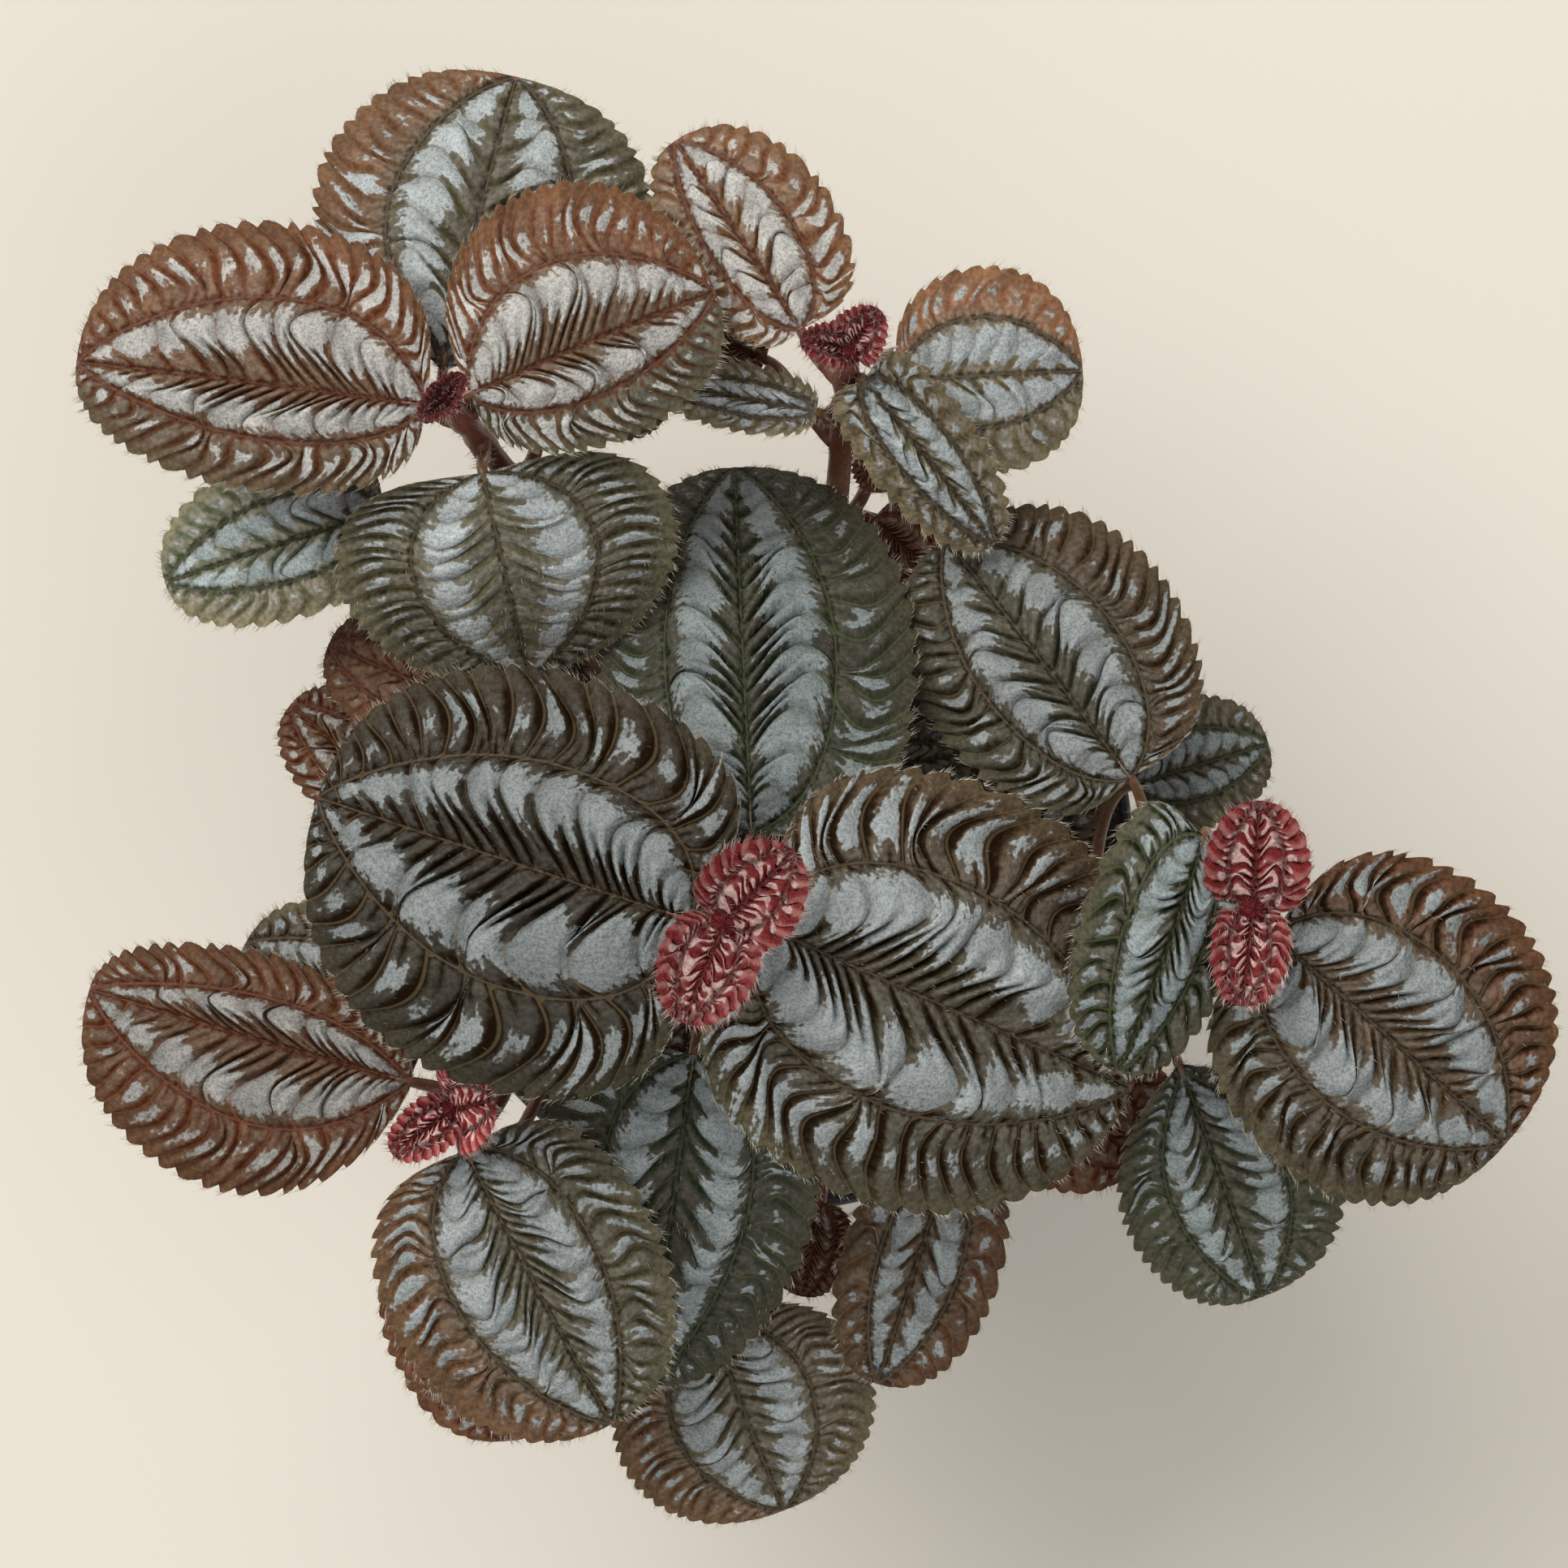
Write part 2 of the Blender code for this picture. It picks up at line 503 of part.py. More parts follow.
def add_soil():
    """The soil: a plug that fills the pot, with a lumpy top and a plain hole for each stem."""
    faces = [(0, 1 + s, 1 + (s + 1) % SOIL_SIDES) for s in range(SOIL_SIDES)]
    for ring in range(SOIL_RINGS):
        near = 1 + ring * SOIL_SIDES
        for s in range(SOIL_SIDES):
            n = (s + 1) % SOIL_SIDES
            faces.append((near + s, near + SOIL_SIDES + s, near + SOIL_SIDES + n))
            faces.append((near + s, near + SOIL_SIDES + n, near + n))
    faces.append([1 + SOIL_RINGS * SOIL_SIDES + s for s in range(SOIL_SIDES)])
    soil = add_object("soil", mesh_of("soil", soil_points(), faces), "soil")
    drills = []
    for stem, line in STEMS.items():
        radius = stem_radius(line[0][2], stem) + STEM_HOLE_CLEARANCE
        drills.append(add_drill(line[0], radius, SOIL_TOP - STEM_HOLE_DEPTH, POT_HEIGHT))
    cut_with(soil, drills)


def main():
    clear_scene()
    add_pot()
    add_soil()
    for name in STEMS:
        add_stem(name)
    for name in TIPS:
        add_tip(name)
    for leaf in LEAVES:
        add_leaf(leaf)


main()
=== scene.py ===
"""Potted friendship plant, dressed: quilted silver leaves, crimson tips, hairs, potting soil and a pot.

The tables repeat the plant's measures in millimetres. The pot's axis is Z, its foot stands on Z 0, and
the longest trailing stem leans towards +X. Every leaf is a function of two numbers on a grid: k runs
along the blade from 0 at its base to 1 at its tip, and a runs across it from -1 at the right margin to
1 at the left.
"""

import itertools
import math
from collections import namedtuple

import bpy
import numpy as np
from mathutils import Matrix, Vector


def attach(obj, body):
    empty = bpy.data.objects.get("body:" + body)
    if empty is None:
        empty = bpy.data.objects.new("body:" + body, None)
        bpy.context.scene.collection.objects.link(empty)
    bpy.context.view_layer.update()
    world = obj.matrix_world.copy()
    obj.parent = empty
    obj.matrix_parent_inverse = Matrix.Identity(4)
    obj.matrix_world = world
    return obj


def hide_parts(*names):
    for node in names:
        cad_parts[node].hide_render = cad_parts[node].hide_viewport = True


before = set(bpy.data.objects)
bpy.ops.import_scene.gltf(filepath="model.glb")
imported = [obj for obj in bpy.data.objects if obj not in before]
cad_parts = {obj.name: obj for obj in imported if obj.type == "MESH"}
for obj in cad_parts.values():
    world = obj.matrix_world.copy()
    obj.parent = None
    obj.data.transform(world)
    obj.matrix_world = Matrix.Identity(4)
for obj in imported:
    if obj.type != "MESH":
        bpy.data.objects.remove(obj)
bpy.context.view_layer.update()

MM = 0.001

# The pot and the soil, as turned profiles, and the bark chips that lie on some of the spots on the soil.
POT_HEIGHT = 100.0
POT_FOOT_RADIUS = 42.0
POT_NECK_RADIUS = 56.0
POT_RIM_RADIUS = 60.0
POT_RIM_HEIGHT = 12.0
POT_WALL = 1.6
POT_SIDES = 144
FOOT_ROUND = 1.5
RIM_ROUND = 0.8
DRAIN_HOLES = 6
DRAIN_RADIUS = 4.5
DRAIN_CIRCLE = 28.0
SOIL_TOP = 88.0
SOIL_FOOT = 3.2
SOIL_GAP = 0.4
SOIL_RINGS = 70
SOIL_SIDES = 200
SPOTS = 420
CHIPS = 336
CHIP_STRETCH = 1.9, 0.8, 0.35

# The blade's outline, as on the CAD leaves.
VEIN_SWEEP = 0.1
ROUNDNESS = 0.9
SIDE_VEIN = 0.56
ROW_BEND = 1.4
BASE_DRAW = 10.0

# The teeth of the rim: their depth in millimetres, the share of it between two of them, and how close to the
# rim they start.
TOOTH_DEPTH = 1.5
TOOTH_FOOT = 0.25
TOOTH_START = 12

# How the rows of furrows run: how evenly they leave the midrib, how much they crowd at the rim, how far
# those at the side vein have turned to the rim's spacing, how late they fan out past it, and how far
# along the blade the chevrons' kink and the hook beyond it have grown in and faded out.
MIDRIB_EVEN = 0.4
RIM_LEAD = 0.93
LATERAL_TURN = 0.72
FAN_OUT = 1.6
UNEVEN = 0.24
WANDER = 0.2
KINK_AT = 0.6
KINK = 0.062
KINK_UNEVEN = 0.12
KINK_GROWS = 0, 0.3
KINK_FADES = 0.55, 1
HOOK = 0.025

# The blade's relief: the height of the ribs' backs inside and outside the side veins. It is full from this
# length of leaf on, and short or smooth leaves keep at least these shares of it.
INNER_PILLOW = 2.4
OUTER_PILLOW = 1.9
FULL_RELIEF_LENGTH = 45.0
LEAST_RELIEF = 0.4
SMOOTH_INNER = 0.4
SMOOTH_OUTER = 0.2
RIB_GAIN = 0.75, 1.15

# A rib's back: its highest place and its fullness. Some ribs are forked in two, near the midrib or near the
# side vein, over these shares of a half, and with backs of these places and fullnesses there.
RIB_LEAN = 0.65
RIB_FULLNESS = 0.7
INNER_FORK = 0.35, 0.8
INNER_FORK_BACK = 0.9, 1.2
OUTER_FORK = 0.1, 0.5
OUTER_FORK_BACK = RIB_LEAN, RIB_FULLNESS
FORKS_WITH_COAT = 0.3, 0.7
OUTER_FORKED_OVER = 0.7

# The grooves of the midrib and the side veins, and the small crumples between the furrows, in millimetres.
GROOVE_DEPTH = 0.3
GROOVE_WIDTH = 0.45
PEBBLE = 0.3
PEBBLE_SIZE = 2.4

# Painted light and shade over a rib, partly the furrows' own dark pigment: its shaded flank and its far
# foot, as shares of its breadth, where the silver band and the rim are more even, and how dark the painted
# shade in the pits is.
INNER_FLANK = 0.4
OUTER_FLANK = 0.45
FLANK_START = 0.06
FAR_FOOT = 0.86, 1
FAR_FOOT_DARK = 0.7
BAND_OPENS = 0.25, 0.5
BAND_CLOSES = 0.85, 0.97
BAND_EVEN = 0.75
RIM_OPENS = 0.6, 1
RIM_EVEN = 0.5
PIT = 0, 0.6
PIT_SHADE = 0.4

# The blade's body in millimetres: its thickness at the rim and inside, the rib under its middle and that
# rib's share of a half, and the angle in degrees over which an edge shows sharp.
RIM_THICKNESS = 0.25
BLADE_THICKNESS = 1.0
UNDER_RIB = 0.5
UNDER_RIB_WIDTH = 0.05
RIM_ANGLE = 100.0

# The silver band, as shares of a half's width: where it starts and ends, how bare the midrib's side and the
# ribs' flanks are, how much one rib differs from the next, and how softly and fully it covers.
BAND_START = 0.06
BAND_BARE = 0.13
FLANK_BARE = 0.04
FURROWED_BARE = 0.08
BAND_STEP = 0.05
BAND_END = 0.52
END_STEP = 0.03
END_FLANK = 0.07
BAND_FEATHER = 0.12
BAND_SLOPE = 3.0
BAND_FULL = 0.85
RIDGE_FEATHER = 0.7

# The dashes past the side vein: where they lie, how long they are, which ribs have one, where along the
# blade they fade out, and how softly they end.
DASH_AT = 0.78
DASH_STEP = 0.05
DASH_HALF = 0.13
DASH_CHANCE = 0.45
DASH_FADES = 0.25, 0.7
DASH_SLOPE = 2.2
DASH_FEATHER = 0.6

# How far from a vein a point counts as where there is none near it, in millimetres.
FAR = 3.0

# The tissue: where over a half's width the margin's tint grows in, and where the rim loses its grey and takes
# a lighter tint of its own, partly painted light through the thin margin. Then how much grey, partly the
# ribs' own tone and partly a painted sheen, lies on their lit backs, and how the silver darkens in the
# furrows and brightens towards the backs as painted shade and light.
MARGIN_TINT = 0.45, 0.75
RIM_LOSES_GREY_SHEEN = 0.84, 1
RIM_TINT = 0.86, 1
RIM_TINTED = 0.6
GREY_SHEEN_ON_BACK = 0.2, 0.9
GREY_SHEEN_ON_OLIVE = 0.8
GREY_SHEEN_ON_RUST = 0.65
GREEN_KEEPS = 0.3
MOTTLE = 0.12
SILVER_SHADE_IN_FURROW = 0.72
SILVER_LIGHT_ON_BACK = 0.36

# Grids: rows along the blade, with whole ribs of rows, and columns from the midrib to the side vein and
# margin. The under face keeps every few columns, always with one at the side veins.
Grid = namedtuple("Grid", "rows inner_ribs outer_ribs inner_columns outer_columns under_step")
BIG_GRID = Grid(120, 12, 24, 20, 16, 4)
SMALL_GRID = Grid(90, 9, 15, 15, 12, 3)
YOUNG_GRID = Grid(96, 6, 12, 10, 8, 2)
BIG_LEAF = 33.0

# The stalks: petioles, stems and buds.
PETIOLE_RADIUS = 1.0
PETIOLE_DEPTH = 1.0
PETIOLE_RISE = 0.3
PETIOLE_LIFT = 0.8
PETIOLE_BITE = 0.07
PETIOLE_ROOT = 1.6
PETIOLE_TAPER = 1.25, 0.8
PETIOLE_FLARE = 1.5, 1.2
PETIOLE_STEPS = 14
PETIOLE_SIDES = 10
STEM_STEPS = 90
STEM_SIDES = 16
JOINT_GAP = 0.45
STEM_FOOT_RADIUS = 2.3
STEM_TOP_RADIUS = 1.7
STEM_STRAIGHT_TO = 90.5
STEM_EASE = 10.0
JOINT_SWELL = 0.45
MOST_SWELL = 0.5
SWELL_LENGTH = 2.5
BUD_RADIUS = 2.4

# Hairs: how many on a millimetre of margin and a square millimetre of skin, and their size.
MARGIN_HAIRS = 9.0
SKIN_HAIRS = 0.12
YOUNG_HAIRS = 40
PETIOLE_HAIRS = 60
STEM_HAIRS = 420
BUD_HAIRS = 90
HAIR_RADIUS = 0.045
HAIR_LENGTH = 1.7

# The seeds of each kind of piece's random draws.
LEAF_SEED = 500
STEM_SEED = 700
TIP_SEED = 900
YOUNG_SEED = 60
SOIL_SEED = 77

# Which of a piece's materials a face has, where it isn't the first.
STALK = 1
HAIR = 2

# The camera: how far it is above the top leaves, how high they are, and the width that it sees there.
CAMERA_ABOVE = 850.0
LEAF_TOPS = 180.0
FRAME_WIDTH = 241.5

# Each stem's own line, from inside the soil up to its growing tip.
STEMS = {
    "a": ((-4, -4, 72), (-4, -4, 92), (-5, -5, 130), (-7, -8, 170), (-8, -9, 203)),
    "b": ((16, -6, 72), (16, -6, 92), (36, -8, 118), (59, -8, 155), (72, -7, 194)),
    "c": ((-16, -14, 72), (-16, -14, 92), (-30, -24, 112), (-44, -34, 142), (-50.5, -38.5, 174)),
    "d": ((-14, 16, 72), (-14, 16, 92), (-26, 36, 116), (-42, 60, 150), (-50.5, 70.5, 190)),
    "e": ((6, 18, 72), (6, 18, 92), (8, 40, 114), (10, 64, 146), (11, 78.5, 186)),
    "f": ((-20, 2, 72), (-20, 2, 92), (-28, 4, 108), (-38, 9, 126), (-44, 13, 142)),
    "g": ((6, -18, 72), (6, -18, 92), (8, -28, 106), (11, -42, 122), (12, -50, 136)),
}

# Each leaf: the height at which it leaves its stem, its base and tip, its half widths and how far its
# margins drop on the left and the right, how high its midrib arches, its lobes behind the base, how
# egg-shaped it is, and its material slot.
Leaf = namedtuple("Leaf", "name joint base tip sides drops arch lobe ovate slot",
                  defaults=(0.14, 0.08, "green"))
LEAVES = (
    Leaf("a_left", 188, (-13, -8.5, 198), (-70, 10, 190), (33, 28.5), (8, 7), 5, 0.22),
    Leaf("a_right", 188, (-3, -9, 197), (55, -35, 176), (32, 31.5), (8, 7), 6, 0.16),
    Leaf("a_up", 168, (-4, 4.5, 182), (-7, 63, 142), (22, 26), (9, 6), 6, 0.12, 0.02),
    Leaf("a_down", 166, (-13, -30, 173), (-21, -85, 139), (21, 21), (6, 8), 4, 0.04, 0.2),
    Leaf("a_low_up", 124, (-2, 7, 142), (3, 38, 133), (10, 10), (3, 3), 2),
    Leaf("a_low_left", 118, (-15, -6, 136), (-44, -11, 126), (9.5, 9.5), (3, 3), 2),
    Leaf("a_low_down", 128, (-7, -18, 144), (-12, -46, 136), (9.5, 9.5), (3, 3), 2),
    Leaf("b_right", 180, (75.5, -11, 189), (112.5, -43.5, 178), (26, 24.5), (6, 6), 4, 0.12, 0, "rust"),
    Leaf("b_left", 184, (64.5, 4, 196), (52, -32, 189), (9.5, 12.5), (6, 7), 6, 0.3),
    Leaf("b_up", 160, (55, 13, 170), (26.5, 51, 154), (18.5, 22.5), (4, 8), 4, 0.1, -0.04),
    Leaf("b_down", 158, (63, -32, 164), (77.5, -70, 148), (18.5, 15.5), (5, 5), 4, -0.1, -0.1),
    Leaf("b_back", 140, (57, 12, 150), (79, 18.5, 142), (10.5, 9.5), (2, 2), 2, 0.1),
    Leaf("b_under", 132, (38, -28, 150), (58, -49.5, 144), (14.5, 14.5), (3, 3), 2, 0.1, 0.08, "rust"),
    Leaf("b_low", 118, (42, 4, 132), (50, 32, 124), (10, 10), (3, 3), 2),
    Leaf("c_left", 166, (-57, -34.5, 170), (-107.5, -20, 168), (23.5, 11.5), (5, 9), 3, -0.04, 0.02, "rust"),
    Leaf("c_right", 164, (-48.5, -45, 172), (-26, -88.5, 164), (19.5, 22.5), (5, 7), 4, 0.1, 0.06),
    Leaf("c_back", 150, (-56, -29, 158), (-85, -13.5, 150), (14, 14), (3, 3), 2),
    Leaf("c_low_left", 140, (-51.5, -51, 150), (-53, -86, 142), (10.5, 10.5), (3, 3), 2, 0.1, -0.1),
    Leaf("c_low_right", 126, (-47, -58, 140), (-44.5, -95, 132), (16, 16), (3, 3), 2, 0.1, 0.08, "rust"),
    Leaf("c_low_up", 106, (-38, -15, 118), (-64, -4, 110), (9.5, 9.5), (2, 2), 2),
    Leaf("d_left", 180, (-54, 70, 185), (-108, 77, 180), (15, 24), (4, 6), 4, 0.05, 0.08, "rust"),
    Leaf("d_right", 181, (-47, 71.5, 187), (-9.5, 87.5, 184), (24.5, 14.5), (6, 4), 4, 0.04, 0, "rust"),
    Leaf("d_top", 166, (-52, 76, 174), (-41, 123, 164), (25.5, 25.5), (10, 6), 5, -0.14, -0.16),
    Leaf("d_down", 170, (-45.5, 60, 178), (-39, 29, 161), (26.5, 25), (7, 9), 5, 0.1, 0.12),
    Leaf("d_small", 150, (-62, 55, 162), (-97.5, 44, 152), (11, 13), (2, 2), 2),
    Leaf("d_low", 150, (-33, 76, 156), (-17.5, 72, 148), (7, 7), (2, 2), 1),
    Leaf("d_low_left", 110, (-34, 33, 124), (-61, 27, 114), (9.5, 9.5), (3, 3), 2),
    Leaf("e_up", 174, (3.5, 82, 181), (-16, 112, 172), (9.5, 14.5), (4, 6), 3, 0.1, 0.02, "rust"),
    Leaf("e_down", 174, (13.5, 74, 181), (34, 49.5, 164), (8.5, 7.5), (7, 5), 3, 0.2),
    Leaf("e_right", 158, (19, 75, 166), (48, 77, 162), (16.5, 14.5), (3, 3), 3, 0.08, 0, "rust"),
    Leaf("e_left", 164, (6, 70, 170), (-20, 75, 166), (4.5, 5), (3, 3), 2, 0.04),
    Leaf("e_low_left", 152, (-2, 79, 160), (-13.5, 83.5, 156), (4.5, 4.5), (1, 1), 1, 0.06, 0.08, "rust"),
    Leaf("e_low_right", 122, (15.5, 55, 132), (26, 46, 126), (7, 7), (2, 2), 1, 0.06, 0.08, "rust"),
    Leaf("e_low", 132, (16.5, 68, 143), (16, 59, 138), (4, 4), (1, 1), 1, 0.06, 0.08, "rust"),
    Leaf("e_low_inner", 100, (10, 14, 134), (32, 17, 130), (6, 6), (1, 1), 1),
    Leaf("e_low_front", 108, (16, 42, 120), (40, 54, 110), (9.5, 9.5), (3, 3), 2),
    Leaf("f_up", 136, (-49, 24.5, 148), (-72.5, 34.5, 140), (9.5, 9.5), (2, 2), 2, 0.08, 0.08, "rust"),
    Leaf("f_left", 132, (-59, 8, 140), (-79.5, 25, 130), (9, 9), (2, 2), 2, 0.08, 0.08, "rust"),
    Leaf("f_small", 124, (-50, 19, 136), (-61, 27.5, 130), (6, 6), (1, 1), 1),
    Leaf("g_down", 112, (-11, -75, 138), (1, -106.5, 130), (20.5, 21), (5, 5), 3, 0.06, 0),
    Leaf("g_right", 130, (27, -49, 150), (16, -85, 138), (12.5, 11), (3, 3), 3),
    Leaf("g_small", 126, (7, -56, 134), (4, -72, 126), (6, 6), (1, 1), 1, 0.06, 0.08, "rust"),
)

# The growing tips: two young leaves each. half is half a leaf's width, tone how light it is, raised as
# painted light on the tips that lie lower in the shade.
YoungLeaf = namedtuple("YoungLeaf", "tip half tone", defaults=(1,))
TIPS = {
    "a": (YoungLeaf((2.5, 2, 211), 7.5), YoungLeaf((-14, -23.5, 210), 7)),
    "b": (YoungLeaf((72.5, 9.5, 200), 7.5, 1.1), YoungLeaf((70, -21.5, 198), 5.5, 1.1)),
    "c": (YoungLeaf((-43.5, -36.5, 181), 6.5, 1.8), YoungLeaf((-59.5, -45, 179), 4, 1.6)),
    "d": (YoungLeaf((-54, 67, 195), 2.2, 0.55), YoungLeaf((-47.5, 74, 195), 2.2, 0.55)),
    "e": (YoungLeaf((15.5, 84, 192), 4), YoungLeaf((3.5, 79.5, 191), 3)),
}
YOUNG_LIFT = 0.4
YOUNG_ARCH = 0.8
YOUNG_DROP = -2.5

# How each leaf is coloured: how bright its silver is and how light the rest is, both raised as painted
# light on leaves that lie in the shade of others, how rusty that is all over and at its left and right
# margins, how green otherwise, how much silver lies in the bands and in the dashes, how dark its furrows
# are inside and outside the side veins, partly their pigment and partly painted shade, and how much wider
# it is bare beside the midrib.
Coat = namedtuple("Coat", "shine tone rust left right green silver dashes inner outer bare",
                  defaults=(0.75, 0.9, 0.1, 0.1, 0.1, 0.4, 0.9, 0.4, 0.8, 0.7, 0))
COATS = {
    "a_left": Coat(0.6, 0.38, 0, 0, 0.15, 0.1, 1, 0.7, 1, 0.95),
    "a_right": Coat(0.84, 0.8, 0, 0.35, 0, 0.15, 1.15, 0.95, 0.85, 0.95),
    "a_up": Coat(0.6, 0.6, 0, 0, 0, 0.7, 1.5, 0.7, 0.65, 0.35),
    "a_down": Coat(0.8, 0.64, 0, 0, 0, 0.8, 1.15, 0.6, 0.3, 0.3, 0.05),
    "b_right": Coat(0.73, 0.8, 0.3, 0.7, -0.2, 0.2, 1.2, 0.8, 0.65, 0.9),
    "b_left": Coat(0.68, 0.8, 0, 0, 0, 0.6, 1.45, 1, 0.75, 0.8),
    "b_up": Coat(0.66, 0.69, 0, 0, 0.4, 0.5, 1.25, 0.5, 0.5, 0.75, 0.03),
    "b_down": Coat(0.82, 0.82, 0, 0, 0, 0.7, 1.25, 0.6, 0.2, 0.35, 0.06),
    "b_back": Coat(0.8, 1.15, 0.05, 0.1, 0.1, 0.6, 1.1, 0.2, 0.25, 0.3),
    "b_under": Coat(0.8, 0.9, 1, 0.9, 0.9, 0, 0.3, 0.1),
    "c_left": Coat(0.66, 0.66, 0.8, 0.8, 0.3, 0.1, 1, 0.5, 0.6, 0.7, 0.03),
    "c_right": Coat(0.8, 1.05, 0, 0, 0.7, 0.4, 1.15, 0.8, 0.6, 0.65),
    "c_back": Coat(0.7, 0.9, 0.05, 0.1, 0.1, 0.4, 0.9, 0.3),
    "c_low_left": Coat(0.8, 1, 0.5, 0.5, 0.5, 0.2, 0.9, 0.6),
    "c_low_right": Coat(0.8, 1, 0.5, 0.6, 0.6, 0.1, 0.9, 0.7),
    "d_left": Coat(0.93, 0.94, 0.65, -0.3, 0.5, 0, 1.25, 0.9, 0.65, 0.65, 0.03),
    "d_right": Coat(0.96, 1, 0.5, 0.6, -0.5, 0.3, 1.3, 1.1, 0.65, 0.6, 0.03),
    "d_top": Coat(1, 1.1, 0, 0.8, 0, 0.3, 1.35, 1.5, 0.12, 0.5, 0.06),
    "d_down": Coat(1.06, 1.4, 0, 0, 0, 0.5, 1.35, 0.6, 0.2, 0.75, 0.1),
    "d_small": Coat(1.16, 2.5, 0, 0.1, 0, 0.8, 1.2, 0.2, 0.3, 0.4, 0.03),
    "e_up": Coat(1.05, 1.35, 0.5, 0, 0.3, 0, 1.4, 0.9, 0.45, 0.45),
    "e_down": Coat(1.08, 1.85, 0.05, 0.1, 0.1, 0.5, 1.3, 0.7, 0.45, 0.5),
    "e_right": Coat(0.9, 1.5, 0.05, 0.9, 0, 0.2, 1.6, 0.2, 0.15, 0.35),
    "e_low_inner": Coat(0.5, 1.5, 0, 0, 0, 0.9, 0.3, 0, 0.3, 0.3),
    "e_left": Coat(1.1, 2.2, 0, 0.1, 0.1, 0.5, 1.5, 0.4, 0.2, 0.3),
    "e_low_left": Coat(0.8, 1, 0.8, 0.8, 0.8, 0, 0.4, 0.2),
    "e_low_right": Coat(0.8, 1, 0.8, 0.8, 0.8, 0, 0.2, 0),
    "e_low": Coat(0.8, 1, 0.9, 0.9, 0.9, 0, 0.3, 0),
    "f_up": Coat(0.6, 0.8, 1, 0.9, 0.9, 0, 0, -1, 0.1, 0.15),
    "f_left": Coat(0.75, 0.75, 0.85, 0.7, 0.7, 0, 0.8, 0.3, 0.8, 0.8),
    "g_down": Coat(0.86, 1.15, 0.05, 0.1, 0.6, 0.4, 1.15, 0.4, 0.45, 0.6),
    "g_right": Coat(0.68, 0.7, 0.3, 0.5, 0.2, 0.2, 1.15, 0.3, 0.2, 0.4),
    "g_small": Coat(0.7, 0.9, 0.7, 0.7, 0.7, 0, 0.4, 0.2),
}

YOUNG_COAT = Coat(shine=0.9, silver=1.05, inner=1.0, outer=0.85)


def linear(hex_colour):
    """An sRGB hex value as linear light."""
    share = np.array([int(hex_colour[i:i + 2], 16) for i in (1, 3, 5)]) / 255
    return np.where(share <= 0.04045, share / 12.92, ((share + 0.055) / 1.055) ** 2.4)


OLIVE = linear("#463C28")
GREEN = linear("#3A4233")
# A grey for the ribs' lit backs: partly their own tone and partly a painted sheen.
MAUVE_SHEEN = linear("#6A655B")
RUST = linear("#643E28")
# A rust grey for the lit backs of rusty ribs: partly their own tone and partly a painted sheen.
RUST_GREY_SHEEN = linear("#7E6856")
# The rim's tints: their own colour, lightened by painted light showing through the thin margin.
RIM_OLIVE = linear("#625C48")
RIM_RUST = linear("#664A32")
UNDERSIDE = linear("#7A3A30")
CRIMSON = linear("#661A1C")
ROSE = linear("#94605C")
STALK_RED = linear("#6E3C30")
STALK_OLIVE = linear("#6E5A34")


def unit(vector):
    """A vector made one long."""
    return vector / np.linalg.norm(vector)


def units(vectors):
    """Every row of vectors made one long."""
    return vectors / np.linalg.norm(vectors, axis=-1, keepdims=True)


def smooth_step(value, low, high):
    """0 below low, 1 above high, and an S curve between them."""
    share = np.clip((value - low) / (high - low), 0, 1)
    return share * share * (3 - 2 * share)


def blend(first, second, share):
    """Colours from first to second by a share given at each point."""
    share = np.asarray(share)[..., None]
    return first * (1 - share) + second * share


def smooth_line(points, count):
    """A Catmull-Rom curve through the points, read at count even steps."""
    knots = np.array(points, float)
    padded = np.vstack([2 * knots[0] - knots[1], knots, 2 * knots[-1] - knots[-2]])
    where = np.linspace(0, len(knots) - 1, count)
    span = np.minimum(where.astype(int), len(knots) - 2)
    u = (where - span)[:, None]
    p0, p1, p2, p3 = (padded[span + i] for i in range(4))
    return 0.5 * (2 * p1 + (p2 - p0) * u + (2 * p0 - 5 * p1 + 4 * p2 - p3) * u**2
                  + (3 * p1 - p0 - 3 * p2 + p3) * u**3)


def ring_faces(rows, sides):
    """Quads between rings of points, and fans that close both ends to the two points after them."""
    r, c = np.meshgrid(np.arange(rows - 1), np.arange(sides), indexing="ij")
    n = (c + 1) % sides
    quads = [r * sides + c, r * sides + n, (r + 1) * sides + n, (r + 1) * sides + c]
    step = np.arange(sides)
    following = (step + 1) % sides
    count = rows * sides
    low = np.stack([following, step, np.full(sides, count)], -1)
    high = np.stack([count - sides + step, count - sides + following, np.full(sides, count + 1)], -1)
    return np.stack(quads, -1).reshape(-1, 4), low, high


class Part:
    """What a piece is made of: points in millimetres, faces with their material, values on the points."""

    def __init__(self):
        self.points, self.faces, self.marks, self.values, self.count = [], [], [], [], 0

    def add(self, points, faces, mark=0, **values):
        """Adds one body: its points, groups of faces that count from its first point, and its values."""
        points = np.asarray(points, float).reshape(-1, 3)
        for group in faces:
            self.faces.extend((np.asarray(group) + self.count).tolist())
            self.marks.extend([mark] * len(group))
        self.points.append(points)
        self.values.append((len(points), values))
        self.count += len(points)

    def value(self, name, width):
        """One value for every point of the part, 0 where a body gives none."""
        bodies = [np.asarray(given[name], float).reshape(count, width) if name in given
                  else np.zeros((count, width)) for count, given in self.values]
        return np.vstack(bodies)


# The values on a mesh's points: how Blender keeps each, and which output of an Attribute node reads it.
Kept = namedtuple("Kept", "kind field width output")
NUMBER = Kept("FLOAT", "value", 1, "Fac")
POINT_VALUES = {
    "silver": NUMBER,
    "crest": NUMBER,
    "vein": NUMBER,
    "line": NUMBER,
    "grain": Kept("FLOAT_VECTOR", "vector", 3, "Vector"),
    "tissue": Kept("FLOAT_COLOR", "color", 4, "Color"),
}


